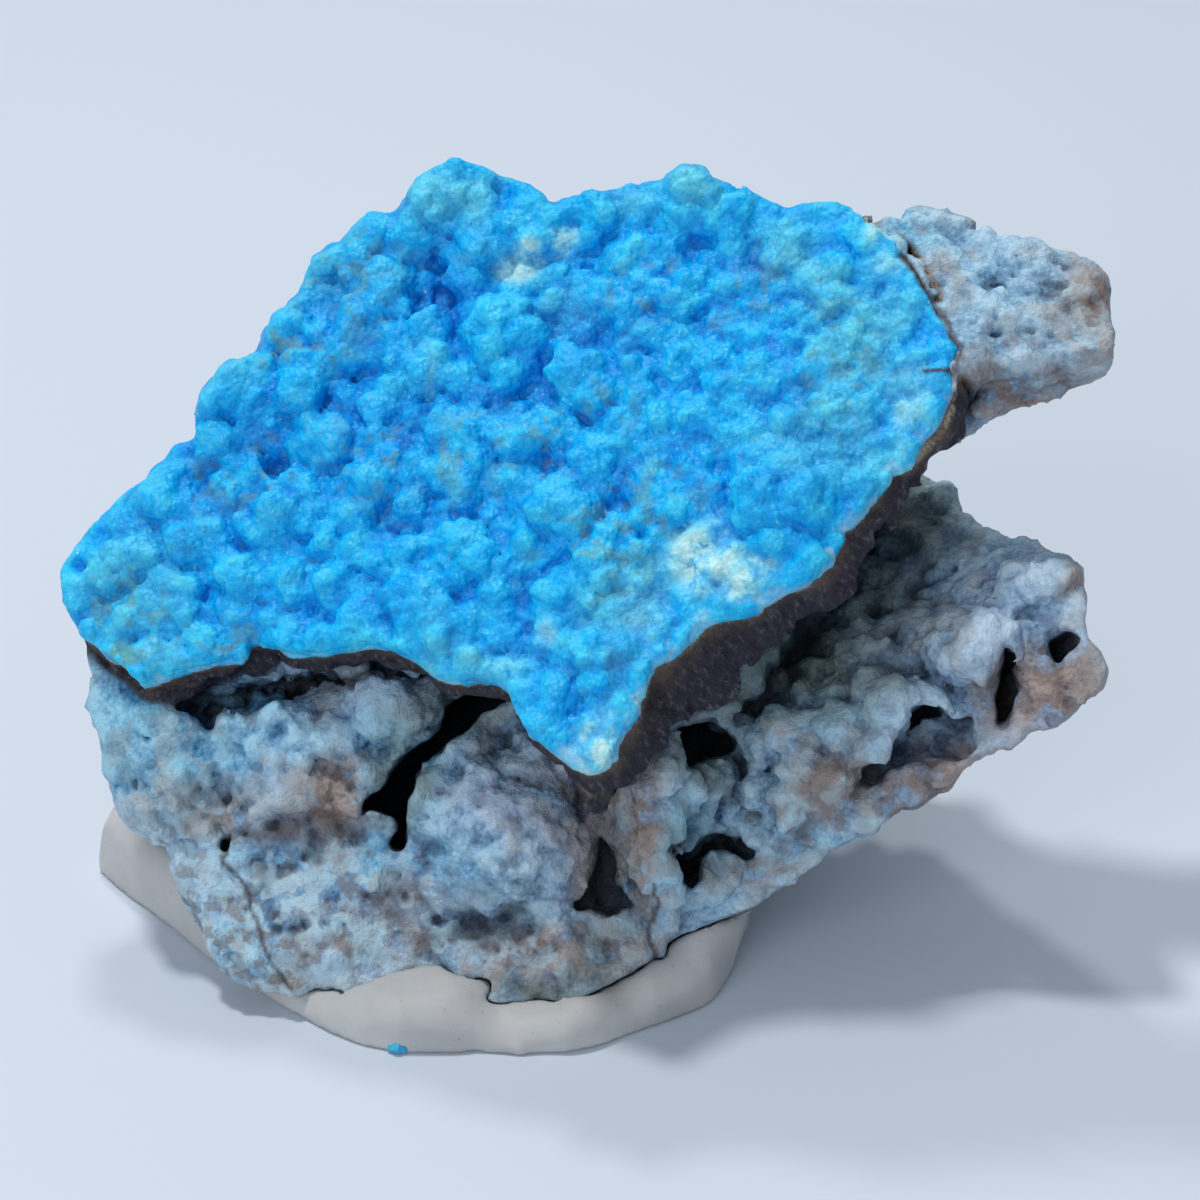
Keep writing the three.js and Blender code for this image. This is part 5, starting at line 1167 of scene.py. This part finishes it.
def rock_material():
    M = Mat("matrix_rock", Roughness=0.7, IOR=1.45, Specular_IOR_Level=0.4)
    relief, swell = M.attr("relief"), M.attr("swell")
    n_mid, n_wide, n_fine = M.attr("mid"), M.attr("wide"), M.noise(0.34, 3, 0.7)
    cells = M.voronoi(0.42)
    # the tone takes the crease shade: raised rock lighter, creases darker, which is painted shade
    lit = M.math("ADD", M.math("MULTIPLY", n_mid, 0.42), M.math("MULTIPLY", relief, 0.40))
    lit = M.math("ADD", lit, M.math("MULTIPLY", n_fine, 0.36))
    lit = M.math("SUBTRACT", lit, M.math("MULTIPLY", cells, 0.16))
    body = M.ramp(lit, (0.26, lin(44, 62, 82)), (0.40, lin(98, 130, 156)), (0.54, lin(140, 176, 202)), (0.72, lin(186, 212, 226)))
    # painted light: lit faces made paler
    light = M.ramp(lit, (0.26, lin(84, 110, 146)), (0.42, lin(140, 172, 206)), (0.72, lin(204, 226, 242)))
    body = M.mix(M.math("MULTIPLY", M.attr("light"), 0.95), body, light)
    blue = M.ramp(lit, (0.26, lin(8, 72, 120)), (0.44, lin(56, 144, 190)), (0.70, lin(138, 206, 230)))
    body = M.mix(M.math("MULTIPLY", M.attr("blue"), 0.9), body, blue)
    pink = M.ramp(lit, (0.28, lin(58, 62, 88)), (0.66, lin(162, 172, 200)))
    body = M.mix(M.math("MULTIPLY", M.attr("pink"), 0.7), body, pink)
    brown = M.ramp(lit, (0.28, lin(40, 34, 38)), (0.44, lin(96, 82, 82)), (0.56, lin(124, 108, 102)), (0.74, lin(166, 150, 142)))
    bm = M.math("MULTIPLY", M.attr("brown"), M.step(M.math("ADD", n_mid, M.math("MULTIPLY", n_wide, 0.4)), 0.40, 0.74))
    body = M.mix(bm, body, brown)
    # speckled broken rock: pale blue bits, brown dots and rusty stains
    sp = M.attr("speckle")
    dots = M.math("MULTIPLY", sp, M.step(M.math("ADD", M.math("MULTIPLY", M.attr("spots"), 0.5), M.math("MULTIPLY", n_fine, 0.5)), 0.51, 0.58))
    body = M.mix(M.math("MULTIPLY", dots, 0.65), body, lin(120, 104, 98))
    bits = M.math("MULTIPLY", sp, M.step(M.attr("bits"), 0.48, 0.62))
    body = M.mix(M.math("MULTIPLY", bits, 0.75), body, lin(190, 220, 232))
    tan = M.math("MULTIPLY", M.step(M.attr("stains"), 0.56, 0.68), 0.35)
    body = M.mix(tan, body, lin(150, 140, 130))
    rust = M.math("MULTIPLY", M.step(M.attr("stains"), 0.44, 0.36), M.math("ADD", M.math("MULTIPLY", M.attr("brown"), 0.7), M.math("MULTIPLY", sp, 0.25)))
    body = M.mix(M.math("MULTIPLY", rust, 0.55), body, lin(120, 100, 88))
    # painted shade: dark greenish colour under the plate and in recesses
    cave = M.ramp(lit, (0.28, lin(14, 20, 20)), (0.50, lin(46, 60, 58)), (0.74, lin(116, 134, 130)))
    body = M.mix(M.math("MULTIPLY", M.attr("cave"), 0.9), body, cave)
    # painted shade: hollows and creases are darker
    body = M.mix(M.math("MULTIPLY", M.step(swell, 0.40, 0.10), 0.75), body, lin(16, 22, 28))
    body = M.mix(M.math("MULTIPLY", M.step(relief, 0.45, 0.15), 0.65), body, lin(30, 38, 48))
    # dark rind with a brown upper band and ribs across it
    place = M.t.nodes.new("ShaderNodeCombineXYZ")
    M.link(M.attr("along"), place.inputs[0])
    M.link(M.attr("out"), place.inputs[1])
    M.link(M.math("MULTIPLY", M.attr("over"), 0.16), place.inputs[2])
    ribs = M.noise(1000 * 0.42, 3, 0.7, co=place.outputs[0])
    rind = M.ramp(M.math("ADD", M.attr("across"), M.math("MULTIPLY", M.math("SUBTRACT", ribs, 0.5), 0.55)),
                  (0.02, lin(150, 136, 118)), (0.08, lin(84, 72, 66)), (0.15, lin(62, 54, 56)), (0.42, lin(44, 41, 50)), (0.92, lin(38, 38, 52)), (1.0, lin(62, 68, 84)))
    rind = M.mix(M.math("MULTIPLY", M.step(ribs, 0.53, 0.66), 0.55), rind, lin(104, 96, 102))
    rind = M.mix(M.math("MULTIPLY", M.step(ribs, 0.47, 0.36), 0.65), rind, lin(18, 17, 23))
    rind = M.mix(M.math("MULTIPLY", M.math("MULTIPLY", M.step(M.attr("blots"), 0.52, 0.68), M.step(M.attr("across"), 0.45, 0.05)), 0.6), rind, lin(92, 78, 66))
    body = M.mix(M.attr("rind"), body, rind)
    body = M.mix(M.math("MULTIPLY", M.attr("crack"), 0.8), body, lin(62, 46, 48))
    glint = M.math("MULTIPLY", M.step(n_fine, 0.66, 0.70), M.step(cells, 0.28, 0.10))
    body = M.mix(M.math("MULTIPLY", glint, 0.45), body, lin(220, 228, 234))
    M.link(body, M.b.inputs["Base Color"])
    grain = M.math("SUBTRACT", M.math("MULTIPLY", n_fine, 1.0), M.math("MULTIPLY", cells, 0.25))
    M.link(M.bump(M.math("ADD", grain, M.math("MULTIPLY", M.math("MULTIPLY", ribs, M.attr("rind")), 1.0)), 0.24, 1.0), M.b.inputs["Normal"])
    M.link(M.math("ADD", M.math("MULTIPLY", M.attr("spots"), 0.5), 0.35), M.b.inputs["Roughness"])
    return M.m


def putty_material():
    M = Mat("white_putty", Roughness=0.62, Subsurface_Weight=0.12, Subsurface_Scale=0.002)
    body = M.ramp(M.math("ADD", M.math("MULTIPLY", M.attr("stain"), 0.6), M.math("MULTIPLY", M.noise(2.5, 3), 0.4)),
                  (0.25, lin(174, 174, 173)), (0.75, lin(194, 194, 192)))
    body = M.mix(M.math("MULTIPLY", M.attr("touch"), 0.35), body, lin(168, 160, 152))
    specks = M.math("MULTIPLY", M.step(M.noise(0.5, 1), 0.70, 0.76), 0.35)
    body = M.mix(specks, body, lin(140, 146, 150))
    M.link(body, M.b.inputs["Base Color"])
    M.link(M.bump(M.noise(1.1, 3), 0.12, 0.5), M.b.inputs["Normal"])
    return M.m


m = crust_material()
for ob in (crust_ob, crumb_ob):
    ob.data.materials.append(m)
m = rock_material()
for ob in rocks:
    ob.data.materials.append(m)
m = putty_material()
putty_ob.data.materials.append(m)
for ob in [crust_ob, crumb_ob] + rocks:
    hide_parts("allophane_specimen")
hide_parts("mounting_putty")
for name, ob in frame["nodes"].items():
    ob.data.materials.clear()
    ob.data.materials.append(bpy.data.materials["white_putty" if "putty" in name else "matrix_rock"])

# ------------------------------------------------- floor, lights and camera
floor_mesh = bpy.data.meshes.new("floor")
s = 3.0
floor_mesh.from_pydata([(-s, -s, 0), (s, -s, 0), (s, s, 0), (-s, s, 0)], [], [(0, 1, 2, 3)])
floor = bpy.data.objects.new("floor", floor_mesh)
bpy.context.scene.collection.objects.link(floor)
fm = bpy.data.materials.new("pale_floor")
fm.use_nodes = True
fb = fm.node_tree.nodes["Principled BSDF"]
fb.inputs["Base Color"].default_value = (0.59, 0.645, 0.72, 1)
fb.inputs["Roughness"].default_value = 0.6
floor_mesh.materials.append(fm)
floor.location.z = -0.00002

scene = bpy.context.scene
w = bpy.data.worlds.new("studio")
scene.world = w
w.use_nodes = True
w.node_tree.nodes["Background"].inputs[0].default_value = (0.80, 0.88, 1.0, 1)
w.node_tree.nodes["Background"].inputs[1].default_value = 0.40


def lamp(name, toward, distance, size, power, colour=(1, 1, 1)):
    l = bpy.data.lights.new(name, "AREA")
    l.shape = "DISK"
    l.size = size
    l.energy = power
    l.color = colour
    o = bpy.data.objects.new(name, l)
    scene.collection.objects.link(o)
    t = np.array(toward, float)
    t /= np.linalg.norm(t)
    o.location = tuple(np.array([0, 0, 0.025]) + t * distance)
    o.rotation_euler = mathutils.Vector(tuple(t)).to_track_quat("Z", "Y").to_euler()
    return o


lamp("key", (-0.24, 0.10, 1.0), 0.9, 0.11, 3.9)
lamp("back", (-0.15, 0.60, 1.0), 0.9, 0.11, 1.9)
lamp("front_fill", (-0.55, -1.0, 0.55), 0.9, 0.50, 2.4, (0.92, 0.96, 1.0))

cam = bpy.data.cameras.new("camera")
cam.sensor_width = 36
cam.lens = SCALE / 1200 * 36
cam.clip_start = 0.01
camera = bpy.data.objects.new("camera", cam)
scene.collection.objects.link(camera)
camera.location = (CENTRE[0] / 1000, (CENTRE[1] - DIST * CE) / 1000, (CENTRE[2] + DIST * SE) / 1000)
camera.rotation_euler = (math.radians(63), 0, 0)
scene.camera = camera
scene.view_settings.view_transform = "Standard"

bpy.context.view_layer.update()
print("all", round(time.time() - T0, 1))
